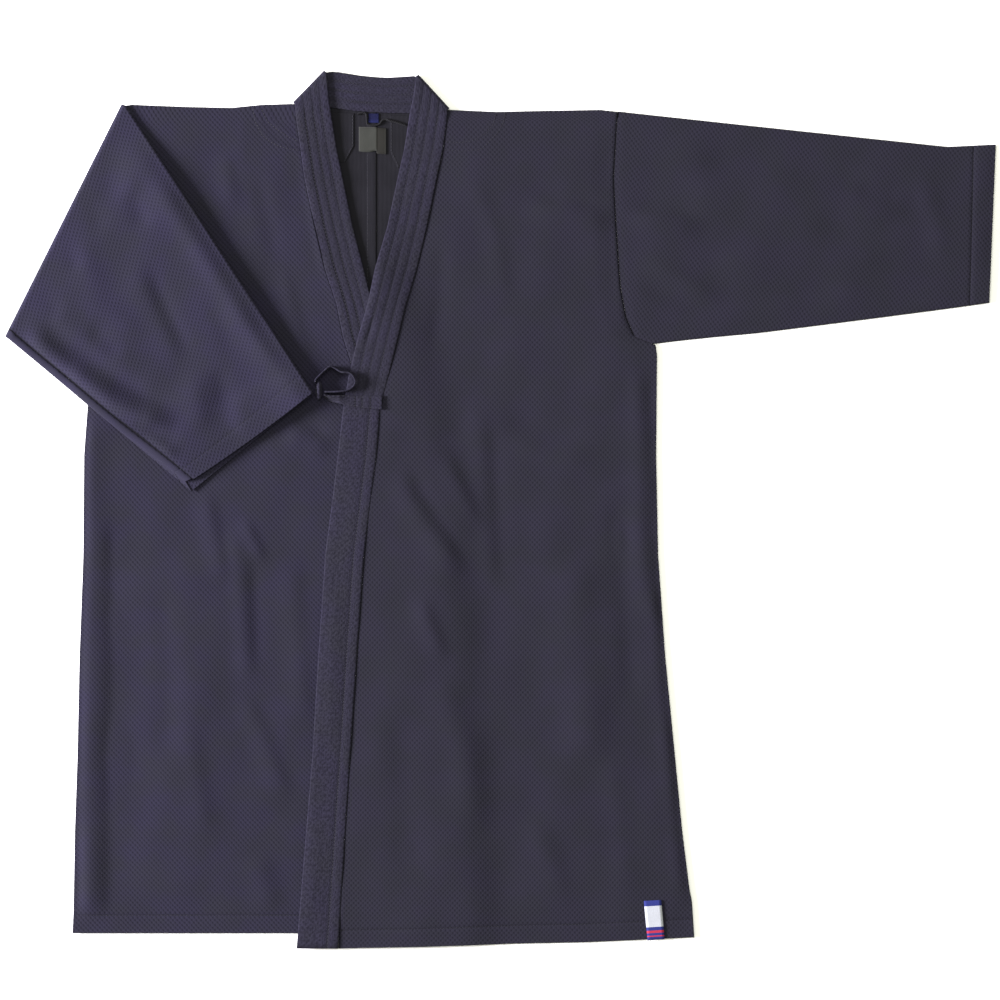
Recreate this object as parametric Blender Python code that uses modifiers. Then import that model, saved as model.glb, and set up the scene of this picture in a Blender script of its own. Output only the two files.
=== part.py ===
"""A kendo jacket of navy double-knit jersey, laid flat with its right sleeve folded over the front.

Right and left are the wearer's. Plan places are millimetres: across from the centre back seam,
towards the wearer's left, and down from the shoulder line, towards the hem. Heights are
millimetres above the surface that the jacket lies on.
"""

import math

import bmesh
import bpy
import numpy as np
from mathutils import Matrix

MM = 0.001

# Sizes of the cut and of the cloth
BACK_LENGTH = 820.0
SHOULDER_TO_CENTRE = 399.3
CENTRE_BACK_X = -125.0
JERSEY = 1.4
COLLAR_CLOTH = 3.0
PATCH_CLOTH = 1.0
TAG_CLOTH = 0.8
SEAM_GAP = 0.3
NECK_GAP = 0.9
ARMHOLE_GAP = np.array([0.3, 0.4])
UNDERARM_GAP = np.array([2.2, -0.4])
LAYER_GAP = 0.5
SHOULDER_AIR = 1.8
SLEEVE_AIR = 1.4
FOLDED_AIR = 1.0
LEAST_GAP = 0.5
EDGE_INSET = 1.7
BELOW_HEM = 1000.0

# Body edge: the armhole down to the underarm, then the side seam down to the hem
BODY_EDGE = np.array([
    # down, right across, left across
    (-6, -242.0, 242.0),
    (68, -237.8, 237.8),
    (116, -240.3, 240.3),
    (178, -244.6, 244.6),
    (208, -250.3, 250.3),
    (227, -258.7, 258.7),
    (235, -279.7, 279.7),
    (245, -284.0, 281.2),
    (345, -291.4, 280.3),
    (445, -292.2, 282.3),
    (545, -295.9, 289.3),
    (645, -298.0, 299.0),
    (720, -300.6, 306.3),
    (800, -302.0, 316.3),
    (838, -303.7, 318.8),
])
UNDERARM_DOWN = 235.0
SLEEVE_TOP_DOWN = {-1: -5.0, 1: 2.0}

# Collar band, which runs on down both fronts to the hem
COLLAR = np.array([
    # down, right seam, right free edge, left seam, left free edge
    (-40, -86.0, -51.7, 77.0, 44.5),
    (0, -80.5, -45.5, 72.4, 35.1),
    (40, -74.7, -39.0, 66.9, 28.8),
    (68, -71.0, -33.2, 60.9, 22.3),
    (116, -60.9, -23.4, 51.0, 12.1),
    (158, -50.9, -12.5, 41.1, 0.1),
    (193, -39.1, -3.9, 30.3, -7.1),
    (227, -32.3, 5.0, 22.1, -17.2),
    (266, -20.0, 18.3, 12.6, -26.5),
    (300, -10.0, 28.0, 3.8, -32.3),
    (345, -2.0, 37.0, 0.5, -37.4),
    (388, 5.0, 43.0, -5.0, -42.6),
    (445, 12.2, 50.2, -12.1, -50.1),
    (545, 19.0, 57.0, -19.1, -56.9),
    (645, 25.8, 63.8, -25.8, -62.8),
    (838, 38.0, 77.5, -37.9, -78.7),
])

# Shoulder fold, and the neck seam of the back between the two shoulders
SHOULDER = np.array([
    # across, down
    (-242, -5.0),
    (-190, -3.0),
    (-145, -2.0),
    (-115, -5.0),
    (-84, -6.0),
    (74, 0.0),
    (120, 2.0),
    (165, 1.0),
    (224, 0.0),
    (242, 2.0),
])
NECK = np.array([
    # across, seam down, top edge down
    (-82, -6.0, -40.0),
    (-45, -2.5, -37.5),
    (-19, 1.0, -34.0),
    (0, 2.3, -32.5),
    (14, 3.0, -32.0),
    (35, 3.3, -33.0),
    (72, 0.5, -35.0),
])
COLLAR_FOLDS = {
    # side: seam end and free-edge end of the fold where the band turns to the back
    -1: ((-82.6, -7.6), (-51.7, -39.4)),
    1: ((73.8, -1.6), (42.9, -35.2)),
}

# Hem lines of the two fronts
RIGHT_HEM = 823.0
LEFT_HEM = np.array([
    # across, down
    (-79, 838.5),
    (-38, 838.0),
    (45, 836.5),
    (135, 833.5),
    (210, 832.0),
    (255, 830.0),
    (319, 827.0),
])

# Left sleeve, laid out straight
LEFT_TOP_EDGE = ((242.3, 2.0), (571.3, 37.0), (619.8, 34.5))
LEFT_UNDER_EDGE = ((280.0, 235.0), (386.3, 224.0), (571.3, 199.0), (613.3, 193.0))

# Right sleeve, folded back over the body along the line from its top edge to its underarm edge
FOLD_TOP = (-253.7, -6.0)
FOLD_UNDER = (-370.6, 227.0)
CUFF_TOP = (-62.2, 283.0)
CUFF_UNDER_LOWER = (-184.0, 381.5)
CUFF_UNDER_UPPER = (-190.5, 371.0)

# Largest folds of the cloth, ridges above 0 and troughs below
FOLDS = [
    # piece, across, down, to across, to down, half width, height
    ("right front", -152, 382, -146, 440, 14, 1.6),
    ("right front", -131, 430, -131, 560, 13, 2.2),
    ("right front", -85, 318, -42, 336, 13, 2.0),
    ("right front", -296, 420, -297, 810, 9, 1.2),
    ("left front", 40, 345, 78, 446, 15, 2.2),
    ("left front", 92, 360, 104, 440, 15, 1.8),
    ("left front", 122, 352, 117, 500, 16, 1.6),
    ("left front", 180, 100, 232, 112, 13, 1.6),
    ("left front", 235, 405, 262, 545, 18, 1.4),
    ("left sleeve", 250, 108, 330, 118, 15, 1.6),
    ("left sleeve", 300, 72, 520, 84, 20, 1.2),
    ("right sleeve", -330, 205, -196, 296, 13, 2.6),
    ("right sleeve", -356, 234, -192, 332, 11, -1.4),
    ("right sleeve", -340, 252, -185, 352, 9, 1.4),
    ("right sleeve", -246, 150, -190, 262, 18, 2.4),
    ("right sleeve", -190, 258, -180, 318, 14, 2.4),
    ("right sleeve", -262, 60, -232, 150, 18, -0.8),
    ("right sleeve", -215, 60, -140, 180, 22, 1.8),
]

navy = bpy.data.collections.new("kendo_jacket")


def clear_scene():
    for thing in list(bpy.data.objects):
        bpy.data.objects.remove(thing, do_unlink=True)
    bpy.context.scene.collection.children.link(navy)


def finish(name, colour, roughness):
    """A plain material in the piece's colour."""
    material = bpy.data.materials.new(name)
    material.use_nodes = True
    shader = material.node_tree.nodes["Principled BSDF"]
    shader.inputs["Base Color"].default_value = (*colour, 1.0)
    shader.inputs["Roughness"].default_value = roughness
    shader.inputs["Metallic"].default_value = 0.0
    return material


def in_frame(point):
    """A place on the plan and a height, as a point of the part in metres."""
    across, down, height = point
    return ((across + CENTRE_BACK_X) * MM, (SHOULDER_TO_CENTRE - down) * MM, height * MM)


def smooth(value):
    value = np.clip(value, 0.0, 1.0)
    return value * value * (3.0 - 2.0 * value)


def along(points, fraction):
    """A point at a fraction of the way along a broken line."""
    points = np.array(points, float)
    steps = np.linalg.norm(np.diff(points, axis=0), axis=1)
    walked = np.concatenate([[0.0], np.cumsum(steps)]) / steps.sum()
    return np.array([np.interp(fraction, walked, points[:, axis]) for axis in (0, 1)])


def folds(piece, across, down):
    """The height that a piece's folds add at a place."""
    total = 0.0
    for owner, across_1, down_1, across_2, down_2, half_width, height in FOLDS:
        if owner != piece:
            continue
        run = np.array([across_2 - across_1, down_2 - down_1], float)
        length = np.linalg.norm(run)
        offset = np.array([across - across_1, down - down_1])
        walked = offset @ run / length
        aside = (offset[0] * run[1] - offset[1] * run[0]) / length
        beyond = max(0.0, -walked, walked - length)
        total += height * math.exp(-((aside / half_width) ** 2) - (beyond / (1.5 * half_width)) ** 2)
    return total


class Pile:
    """The top of what has been laid down so far, on a fine grid, so that the next layer lies on it."""

    CELL = 4.0
    FIRST = np.array([-392.0, -60.0])
    SHAPE = (262, 232)

    def __init__(self):
        self.top = np.zeros(self.SHAPE)
        self.bridged = self.top

    def lay(self, grid, thickness):
        """Adds a wall whose middle points are the grid."""
        grid = np.asarray(grid, float)
        first, across = grid[:-1, :-1], grid[:-1, 1:] - grid[:-1, :-1]
        down, both = grid[1:, :-1] - grid[:-1, :-1], grid[1:, 1:] - grid[1:, :-1] - across
        longest = max(np.abs(across[..., :2]).max(), np.abs(down[..., :2]).max())
        fractions = np.linspace(0, 1, math.ceil(longest / self.CELL) + 2)
        for u in fractions:
            for v in fractions:
                points = (first + u * across + v * down + u * v * both).reshape(-1, 3)
                cells = np.round((points[:, :2] - self.FIRST) / self.CELL).astype(int)
                np.maximum.at(self.top, (cells[:, 0], cells[:, 1]), points[:, 2] + thickness / 2)

    def settle(self, reach=20.0, blur=8.0):
        """The height that cloth takes where it bridges the steps, up to this reach past each one."""
        cells = int(reach / self.CELL)
        wide = self.top.copy()
        for i in range(-cells, cells + 1):
            for j in range(-cells, cells + 1):
                if i * i + j * j <= cells * cells:
                    wide = np.maximum(wide, np.roll(self.top, (i, j), (0, 1)))
        for _ in range(int(blur / self.CELL)):
            for axis in (0, 1):
                wide = (np.roll(wide, 1, axis) + wide + np.roll(wide, -1, axis)) / 3.0
        self.bridged = wide

    def at(self, across, down):
        place = (np.array([across, down]) - self.FIRST) / self.CELL
        i, j = np.floor(place).astype(int)
        u, v = place - (i, j)
        corners = self.bridged[i:i + 2, j:j + 2]
        return float(np.array([1 - u, u]) @ corners @ np.array([1 - v, v]))


pile = Pile()


def cloth(name, grid, thickness, material, keep=None):
    """A wall of cloth: its middle points on a grid, row by row, thickened to both sides."""
    grid = np.asarray(grid, float)
    rows, columns = grid.shape[:2]
    shape = bmesh.new()
    bmesh.ops.create_grid(shape, x_segments=columns - 1, y_segments=rows - 1, size=1.0)
    for vertex, point in zip(shape.verts, grid.reshape(-1, 3)):
        vertex.co = in_frame(point)
    if keep:
        cut = [face for face in shape.faces if not keep(*divmod(face.index, columns - 1))]
        bmesh.ops.delete(shape, geom=cut, context="FACES")
    bmesh.ops.remove_doubles(shape, verts=shape.verts, dist=0.01 * MM)
    mesh = bpy.data.meshes.new(name)
    shape.to_mesh(mesh)
    shape.free()
    mesh.materials.append(material)
    mesh.shade_smooth()
    piece = bpy.data.objects.new(name, mesh)
    navy.objects.link(piece)
    wall = piece.modifiers.new("Wall", "SOLIDIFY")
    wall.thickness = thickness * MM
    wall.offset = 0.0
    wall.use_even_offset = True
    wall.use_quality_normals = True
    return piece


# Body: each half is one length of jersey, the front and the back, folded over the shoulder

FRONT_DOWNS = (12, 40, 68, 92, 116, 137, 158, 178, 193, 208, 218, 227, 235, 245, 266, 283, 300, 322,
               345, 364, 388, 412, 445, 460, 484, 508, 545, 560, 590, 620, 645, 680, 720, 740, 770, 800)
BACK_DOWNS = (12, 68, 116, 178, 208, 227, 235, 245, 345, 445, 545, 645, 720, 800)
ACROSS_STEPS = (0.0, 0.022, 0.055, 0.12, 0.2, 0.28, 0.36, 0.44, 0.52, 0.6, 0.68, 0.76, 0.84, 0.92, 1.0)
GORE_STEPS = (0.25, 0.5, 0.75, 1.0)
ROLL_TURNS = (45, 90, 135)


def edge_across(side, down):
    return float(np.interp(down, BODY_EDGE[:, 0], BODY_EDGE[:, 1 if side < 0 else 2]))


def seam_across(side, down):
    """The front's edge, a seam gap short of the collar band."""
    return float(np.interp(down, COLLAR[:, 0], COLLAR[:, 1 if side < 0 else 3])) + side * SEAM_GAP


def shoulder_down(across):
    return float(np.interp(across, SHOULDER[:, 0], SHOULDER[:, 1]))


def hem_down(side, across):
    if side < 0:
        return RIGHT_HEM
    return float(np.interp(across, LEFT_HEM[:, 0], LEFT_HEM[:, 1]))


def front_height(side, across, down):
    """Middle of the front's wall: on what lies under it, with air and folds away from its edges."""
    piece = "right front" if side < 0 else "left front"
    from_side = abs(across - edge_across(side, down))
    from_hem = hem_down(side, across) - down
    inside = smooth(from_side / 25.0) * smooth(from_hem / 40.0)
    gap = LEAST_GAP + 0.6 * inside
    height = pile.at(across, down) + gap + max(-0.4 * inside, inside * folds(piece, across, down))
    at_shoulder = JERSEY + SHOULDER_AIR
    from_shoulder = down - shoulder_down(across)
    height = max(height, at_shoulder + (height - at_shoulder) * smooth(from_shoulder / 60.0))
    return height + JERSEY / 2


def front_rows(side):
    """The front's points from the hem up to the shoulder."""
    rows = []
    for down in (BELOW_HEM,) + FRONT_DOWNS[::-1]:
        row = []
        for step in ACROSS_STEPS:
            level = min(down, hem_down(side, side * 150))
            across = edge_across(side, level) * (1 - step) + seam_across(side, level) * step
            place = min(down, hem_down(side, across))
            row.append((across, place, front_height(side, across, place)))
        rows.append(row)
    return rows


def shoulder_row(side, turn):
    """One line of the soft roll over the shoulder, from the front (0) to the back (180 degrees)."""
    radius = (SHOULDER_AIR + JERSEY) / 2
    row = []
    for step in ACROSS_STEPS:
        across = edge_across(side, -6) * (1 - step) + seam_across(side, -6 if side < 0 else 0.5) * step
        angle = math.radians(turn)
        top = shoulder_down(across) + JERSEY / 2 + radius
        row.append((across, top - radius * math.sin(angle), JERSEY / 2 + radius * (1 + math.cos(angle))))
    return row


def back_rows(side):
    """The back's points from the neck down to the hem, flat on the surface."""
    radius = (SHOULDER_AIR + JERSEY) / 2
    rows = []
    for down in (-6,) + BACK_DOWNS + (BACK_LENGTH,):
        row = []
        neck = seam_across(side, -6 if side < 0 else 0.5)
        for step in ACROSS_STEPS:
            across = edge_across(side, down) * (1 - step) + neck * step
            row.append((across, max(down, shoulder_down(across) + JERSEY / 2 + radius), JERSEY / 2))
        for step in GORE_STEPS:
            across = neck * (1 - step) + side * SEAM_GAP / 2 * step
            seam = float(np.interp(across, NECK[:, 0], NECK[:, 1])) + NECK_GAP
            row.append((across, max(down, seam), JERSEY / 2))
        rows.append(row)
    return rows


def body_half(side, name, material):
    """Front, shoulder roll and back in one wall. Beside the neck only the back goes on to the centre."""
    gore = len(GORE_STEPS)
    front = front_rows(side)
    pile.lay(front, JERSEY)
    roll = [shoulder_row(side, turn) for turn in (0,) + ROLL_TURNS]
    filled = [row + [row[-1]] * gore for row in front + roll]
    first_back = len(filled)
    grid = filled + back_rows(side)
    return cloth(name, grid, JERSEY, material,
                 keep=lambda row, column: column < len(ACROSS_STEPS) - 1 or row >= first_back)


# Neck patches: jersey sewn inside the shoulders, one on each side of the back neck

PATCHES = {
    # side: outline on the plan, as across and down
    -1: ((-21.7, 3.5), (-21.7, 36), (-30.7, 53), (-70, 46), (-98, 37), (-115, 22), (-121, 6), (-84, -1)),
    1: ((14.5, 5.5), (14.5, 42), (22, 58), (64, 50), (92, 43), (112, 28), (118, 9), (76, 6)),
}


def flat_piece(name, outline, low, thickness, material):
    """A flat piece cut to an outline, lying level."""
    curve = bpy.data.curves.new(name, "CURVE")
    curve.dimensions = "2D"
    curve.fill_mode = "BOTH"
    curve.extrude = thickness / 2 * MM
    spline = curve.splines.new("POLY")
    spline.points.add(len(outline) - 1)
    for point, (across, down) in zip(spline.points, outline):
        x, y, _ = in_frame((across, down, 0.0))
        point.co = (x, y, 0.0, 1.0)
    spline.use_cyclic_u = True
    curve.materials.append(material)
    piece = bpy.data.objects.new(name, curve)
    piece.location.z = (low + thickness / 2) * MM
    navy.objects.link(piece)
    return piece


def neck_patch(side, name, material):
    outline = PATCHES[side]
    low = JERSEY + SEAM_GAP
    flat_piece(name, outline, low, PATCH_CLOTH, material)
    corners = np.array(outline)
    left, top = corners.min(axis=0)
    right, bottom = corners.max(axis=0)
    middle = low + PATCH_CLOTH / 2
    pile.lay([[(left, top, middle), (right, top, middle)], [(left, bottom, middle), (right, bottom, middle)]],
             PATCH_CLOTH)


# Collar: one long band of finer cloth, four layers thick, from hem to hem round the back neck

BAND_STEPS = (0.0, 1 / 3, 2 / 3, 1.0)
FOLD_LAG = 32.5
LAG_REACH = 100.0


def band_section(side, seam_down):
    """The ends of a line across the band: at its seam, and at its free edge a little higher up."""
    first = COLLAR_FOLDS[side][0][1]
    lag = FOLD_LAG * max(0.0, 1 - (seam_down - first) / LAG_REACH) ** 2
    seam = np.interp(seam_down, COLLAR[:, 0], COLLAR[:, 1 if side < 0 else 3])
    free = np.interp(seam_down - lag, COLLAR[:, 0], COLLAR[:, 2 if side < 0 else 4])
    return (seam, seam_down), (free, seam_down - lag)


def band_run(side):
    """The band up one front, from the hem to just below the fold at the shoulder."""
    bottom = RIGHT_HEM if side < 0 else LEFT_HEM[1, 1]
    rows = []
    for seam_down in (bottom,) + FRONT_DOWNS[::-1]:
        seam, free = band_section(side, seam_down)
        row = []
        for step in BAND_STEPS:
            across, down = np.array(seam) * (1 - step) + np.array(free) * step
            low = pile.at(across, down) + LAYER_GAP
            turned = COLLAR_CLOTH + LAYER_GAP
            low = max(low, turned + (low - turned) * smooth((down + 40) / 90.0))
            row.append((across, down, low + COLLAR_CLOTH / 2))
        rows.append(row)
    return rows


def band_fold(side):
    """The soft crease where the band turns to the back, from the front run (0) to the back (180)."""
    seam, free = (np.array(end) for end in COLLAR_FOLDS[side])
    direction = (free - seam) / np.linalg.norm(free - seam)
    outward = np.array([side * abs(direction[1]), -abs(direction[0])])
    radius = (COLLAR_CLOTH + LAYER_GAP) / 2
    rows = []
    for turn in (0,) + ROLL_TURNS + (180,):
        angle = math.radians(turn)
        aside = outward * (radius * math.sin(angle) - radius - COLLAR_CLOTH / 2)
        height = COLLAR_CLOTH / 2 + radius * (1 + math.cos(angle))
        rows.append([(*(seam * (1 - step) + free * step + aside), height) for step in BAND_STEPS])
    return rows


def band_behind():
    """The band along the back neck, flat on the surface."""
    rows = []
    for across in (-52, -38, -19, 0, 14, 33, 46):
        seam = np.interp(across, NECK[:, 0], NECK[:, 1])
        top = np.interp(across, NECK[:, 0], NECK[:, 2])
        lean = 9.0 * (across / 50.0)
        rows.append([(across - lean * step, seam * (1 - step) + top * step, COLLAR_CLOTH / 2)
                     for step in BAND_STEPS])
    return rows


# Sleeves: each is a tube of jersey pressed flat, lofted through rings from the armhole to the cuff

RING_DOWNS = np.array([2, 24, 46, 68, 84, 100, 116, 132, 147, 163, 178, 193, 208, 218, 227, 235], float)


def armhole_bow(side, plan):
    """How far the armhole curves in from the straight line between its ends."""
    straight = np.interp(plan[1], (SLEEVE_TOP_DOWN[side], UNDERARM_DOWN), (242.0, 280.0))
    return edge_across(side, plan[1]) - side * straight


def ring_steps():
    """Fractions along a ring from its top edge, at the downs where the armhole turns."""
    return (RING_DOWNS - RING_DOWNS[0]) / (RING_DOWNS[-1] - RING_DOWNS[0])


def ring(top, under, bow, back_height, front_height_at, aside=(0.0, 0.0), front_aside=(0.0, 0.0)):
    """One ring: along the back wall to the underarm edge, round it, and back along the front wall."""
    top, under = np.array(top, float), np.array(under, float)
    length = np.linalg.norm(under - top)
    towards = (under - top) / length

    def place(walked):
        plan = top + towards * walked
        return plan + (bow(plan), 0.0)

    back, front = [], []
    for step in ring_steps():
        walked = np.clip(step * length, EDGE_INSET, length - EDGE_INSET)
        plan = place(walked) + aside
        back.append((*plan, back_height(step, plan)))
        plan = place(walked) + front_aside
        front.append((*plan, front_height_at(step, plan)))
    middle_aside = (np.array(aside) + np.array(front_aside)) / 2
    at_top = place(JERSEY / 2) + middle_aside
    at_under = place(length - JERSEY / 2) + middle_aside
    top_edge = (*at_top, (back[0][2] + front[0][2]) / 2)
    under_edge = (*at_under, (back[-1][2] + front[-1][2]) / 2)
    return [top_edge] + back + [under_edge] + front[::-1] + [top_edge]


def left_sleeve(name, material):
    stations = (0.0, 0.04, 0.1, 0.17, 0.24, 0.31, 0.38, 0.46, 0.54, 0.62, 0.7, 0.78, 0.86, 0.93, 1.0)
    rings = []
    for station in stations:
        gap = ARMHOLE_GAP * (1, -1) * (1 - station)
        top = along(LEFT_TOP_EDGE, station) + gap
        under = along(LEFT_UNDER_EDGE, station) + gap + UNDERARM_GAP * (1, 1) * (1 - station)

        def front(step, plan):
            air = SLEEVE_AIR - 0.5 * smooth((step - 0.6) / 0.4)
            puff = smooth(step / 0.1) * smooth((1 - step) / 0.1)
            return 1.5 * JERSEY + air + puff * max(-0.4, folds("left sleeve", *plan))

        rings.append(ring(top, under, lambda plan: armhole_bow(1, plan) * (1 - station) ** 3,
                          lambda step, plan: JERSEY / 2, front))
    return cloth(name, rings, JERSEY, material)


def right_sleeve(name, material):
    """The base that lies on the surface, the fold, and the sleeve laid back over the body."""
    back_low = JERSEY / 2
    front_low = back_low + JERSEY + SLEEVE_AIR
    front_over = front_low + JERSEY + LAYER_GAP
    back_over = front_over + JERSEY + FOLDED_AIR
    inner = (front_over - front_low) / 2
    outer = (back_over - back_low) / 2
    centre = (back_over + back_low) / 2
    fold_top, fold_under = np.array(FOLD_TOP), np.array(FOLD_UNDER)
    line = (fold_under - fold_top) / np.linalg.norm(fold_under - fold_top)
    outward = np.array([-line[1], line[0]])
    if outward[0] > 0:
        outward = -outward
    edge = outer + JERSEY / 2
    rings = []
    for station in (0.0, 0.45, 0.85):
        gap = ARMHOLE_GAP * (-1, -1) * (1 - station)
        top = np.array([-242.0, -5.0]) * (1 - station) + (fold_top - outward * edge) * station + gap
        under = np.array([-280.0, UNDERARM_DOWN]) * (1 - station) + (fold_under - outward * edge) * station
        under = under + gap + UNDERARM_GAP * (-1, 1) * (1 - station)
        rings.append(ring(top, under, lambda plan: armhole_bow(-1, plan) * (1 - station) ** 2,
                          lambda step, plan: back_low, lambda step, plan: front_low))
    base = np.array([row[len(RING_DOWNS) + 2:-1] for row in rings])
    pile.lay(base, JERSEY)
    pile.settle(reach=16.0)
    for turn in (0, 30, 60, 90, 120, 150, 180):
        angle = math.radians(turn)
        rings.append(ring(
            fold_top - outward * edge, fold_under - outward * edge, lambda plan: 0.0,
            lambda step, plan: centre - outer * math.cos(angle),
            lambda step, plan: (front_low + front_over) / 2 - inner * math.cos(angle),
            aside=outward * outer * math.sin(angle), front_aside=outward * inner * math.sin(angle)))
    for station in np.linspace(0, 1, 19)[1:]:
        top = (fold_top - outward * edge) * (1 - station) + np.array(CUFF_TOP) * station
        lower = (fold_under - outward * edge) * (1 - station) + np.array(CUFF_UNDER_LOWER) * station
        settled = smooth(station / 0.16)

        def under_wall(step, plan):
            lift = 3.0 * smooth(station / 0.3) * math.exp(-(step / 0.22) ** 2)
            rest = pile.at(*plan) + LAYER_GAP + JERSEY / 2 + lift
            return max(pile.at(*plan) + SEAM_GAP + JERSEY / 2, front_over + (rest - front_over) * settled)

        def over_wall(step, plan):
            puff = smooth(step / 0.12) * smooth((1 - step) / 0.08) * settled
            folded = folds("right sleeve", *plan)
            return under_wall(step, plan) + JERSEY + FOLDED_AIR + puff * (0.6 + max(-1.0, folded))

        pull = np.array(CUFF_UNDER_UPPER) - np.array(CUFF_UNDER_LOWER)
        loop = ring(top, lower, lambda plan: 0.0, over_wall, under_wall)
        shorter = smooth((station - 0.5) / 0.5)
        for index, step in enumerate(ring_steps()):
            across, down, height = loop[1 + index]
            shift = pull * shorter * step ** 2
            loop[1 + index] = (across + shift[0], down + shift[1], height)
        rings.append(loop)
    return cloth(name, rings, JERSEY, material)


# Ties: the outer pair of straps, tied in a bow beside the left front's edge

STRAP = np.array([
    # across, upper edge down, lower edge down, rise of the upper edge as the strap turns on its edge
    (6.5, 286.0, 299.8, 0.0),
    (-8.0, 286.0, 298.8, 0.0),
    (-20.0, 286.0, 297.3, 0.3),
    (-30.0, 286.0, 295.2, 1.5),
    (-38.0, 286.0, 293.0, 4.5),
    (-45.0, 286.0, 290.8, 7.5),
    (-51.3, 284.6, 287.4, 9.5),
])
HIDDEN_STRAP = np.array([
    # across, middle down, width
    (-125.0, 304.0, 13.7),
    (-108.0, 299.0, 13.7),
    (-92.0, 294.0, 13.0),
    (-76.0, 288.0, 11.0),
    (-64.5, 283.5, 8.0),
])
BOW = np.array([
    # across, down
    (-58.8, 271.2),
    (-58.6, 266.0),
    (-56.5, 262.0),
    (-51.5, 258.0),
    (-45.0, 256.5),
    (-39.0, 259.0),
    (-32.5, 262.3),
    (-25.8, 263.5),
    (-21.2, 268.3),
    (-20.2, 273.0),
    (-23.5, 278.0),
    (-28.5, 280.6),
    (-35.0, 281.6),
    (-43.0, 282.0),
    (-50.6, 282.0),
])
BOW_HEIGHT = 10.5
BOW_CLOTH = 1.2
KNOT_PLACE = (-56.4, 281.0)
KNOT_SIZE = (10.5, 17.0, 11.0)


def strap_left(name, material):
    rows = []
    for across, upper, lower, rise in STRAP:
        rest = pile.at(across, lower) + LAYER_GAP + JERSEY / 2
        rows.append([(across, upper + (lower - upper) * step, rest + rise * (1 - step))
                     for step in (0.0, 1 / 3, 2 / 3, 1.0)])
    return cloth(name, rows, JERSEY, material)


def strap_right(name, material):
    """The mate strap, sewn to the right front under the sleeve."""
    rows = []
    for across, down, width in HIDDEN_STRAP:
        rows.append([(across, down + width * side,
                      pile.at(across, down + width * side) + LAYER_GAP + JERSEY / 2) for side in (-0.5, 0.0, 0.5)])
    pile.lay(rows, JERSEY)
    return cloth(name, rows, JERSEY, material)


def bow(name, material):
    """The loop, standing on its edge."""
    rows = []
    for across, down in BOW:
        rest = pile.at(across, down) + LAYER_GAP
        rows.append([(across, down, rest + BOW_HEIGHT * step) for step in (0.0, 0.5, 1.0)])
    return cloth(name, rows, BOW_CLOTH, material)


def knot(name, material):
    low = pile.at(*KNOT_PLACE) + LAYER_GAP
    x, y, z = in_frame((*KNOT_PLACE, low + KNOT_SIZE[2] / 2))
    bpy.ops.mesh.primitive_uv_sphere_add(segments=14, ring_count=8, radius=0.5, location=(x, y, z))
    piece = bpy.context.object
    piece.name = name
    piece.data.name = name
    piece.data.transform(Matrix.Diagonal((*KNOT_SIZE, 1.0)) * MM)
    piece.data.materials.append(material)
    piece.data.shade_smooth()
    for collection in list(piece.users_collection):
        collection.objects.unlink(piece)
    navy.objects.link(piece)
    return piece


# Small sewn-in pieces: hanger loop, size tag and folded label at the back neck, tag at the hem

HANGER_ROUTE = (
    # across, down, lies on the patch
    (-18.5, 4.4, 0), (-13.0, 2.9, 0), (-9.6, 4.2, 0), (-8.9, 9.0, 0), (-8.2, 14.2, 0), (-2.5, 15.6, 0),
    (3.6, 14.4, 0), (6.6, 10.6, 0), (10.4, 9.6, 0), (13.4, 10.6, 1), (19.5, 12.2, 1), (29.5, 15.4, 1),
)
HANGER_CORD = 2.0
SIZE_TAG = ((-7.2, 3.6), (3.3, 3.6), (3.3, 13.0), (-7.2, 13.0))
LABEL_ACROSS = (-16.7, -8.0, 1.4, 10.3)
LABEL_TOP = (17.0, 17.2, 17.6, 18.5)
LABEL_BOTTOM = (42.0, 42.6, 43.4, 44.5)
HEM_TAG = ((268.0, 790.6), (285.3, 789.6), (288.8, 828.8), (271.7, 829.9))


def hanger_loop(name, material):
    """A thin round cord, sewn in at both ends."""
    on_back = JERSEY + SEAM_GAP + HANGER_CORD / 2
    route = np.array([(across, down, on_back + raised * (PATCH_CLOTH + SEAM_GAP))
                      for across, down, raised in HANGER_ROUTE])
    fine = []
    count = len(route) - 1
    for index in range(count):
        before, start = route[max(index - 1, 0)], route[index]
        end, after = route[index + 1], route[min(index + 2, count)]
        for step in (0.0, 0.34, 0.67):
            fine.append(0.5 * (2 * start + (end - before) * step
                               + (2 * before - 5 * start + 4 * end - after) * step ** 2
                               + (3 * start - before - 3 * end + after) * step ** 3))
    fine.append(route[-1])
    curve = bpy.data.curves.new(name, "CURVE")
    curve.dimensions = "3D"
    curve.bevel_depth = HANGER_CORD / 2 * MM
    curve.bevel_resolution = 2
    curve.use_fill_caps = True
    spline = curve.splines.new("POLY")
    spline.points.add(len(fine) - 1)
    for point, place in zip(spline.points, fine):
        point.co = (*in_frame(place), 1.0)
    curve.materials.append(material)
    piece = bpy.data.objects.new(name, curve)
    navy.objects.link(piece)
    return piece


def neck_label(name, material):
    """A woven label, folded down along its right third."""
    middle = JERSEY + SEAM_GAP + TAG_CLOTH / 2
    rows = []
    for step in (0.0, 0.5, 1.0):
        rows.append([(across, top * (1 - step) + bottom * step, middle + lift)
                     for across, top, bottom, lift in zip(LABEL_ACROSS, LABEL_TOP, LABEL_BOTTOM, (0, 0.4, 0.9, 0))])
    return cloth(name, rows, TAG_CLOTH, material)


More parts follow.
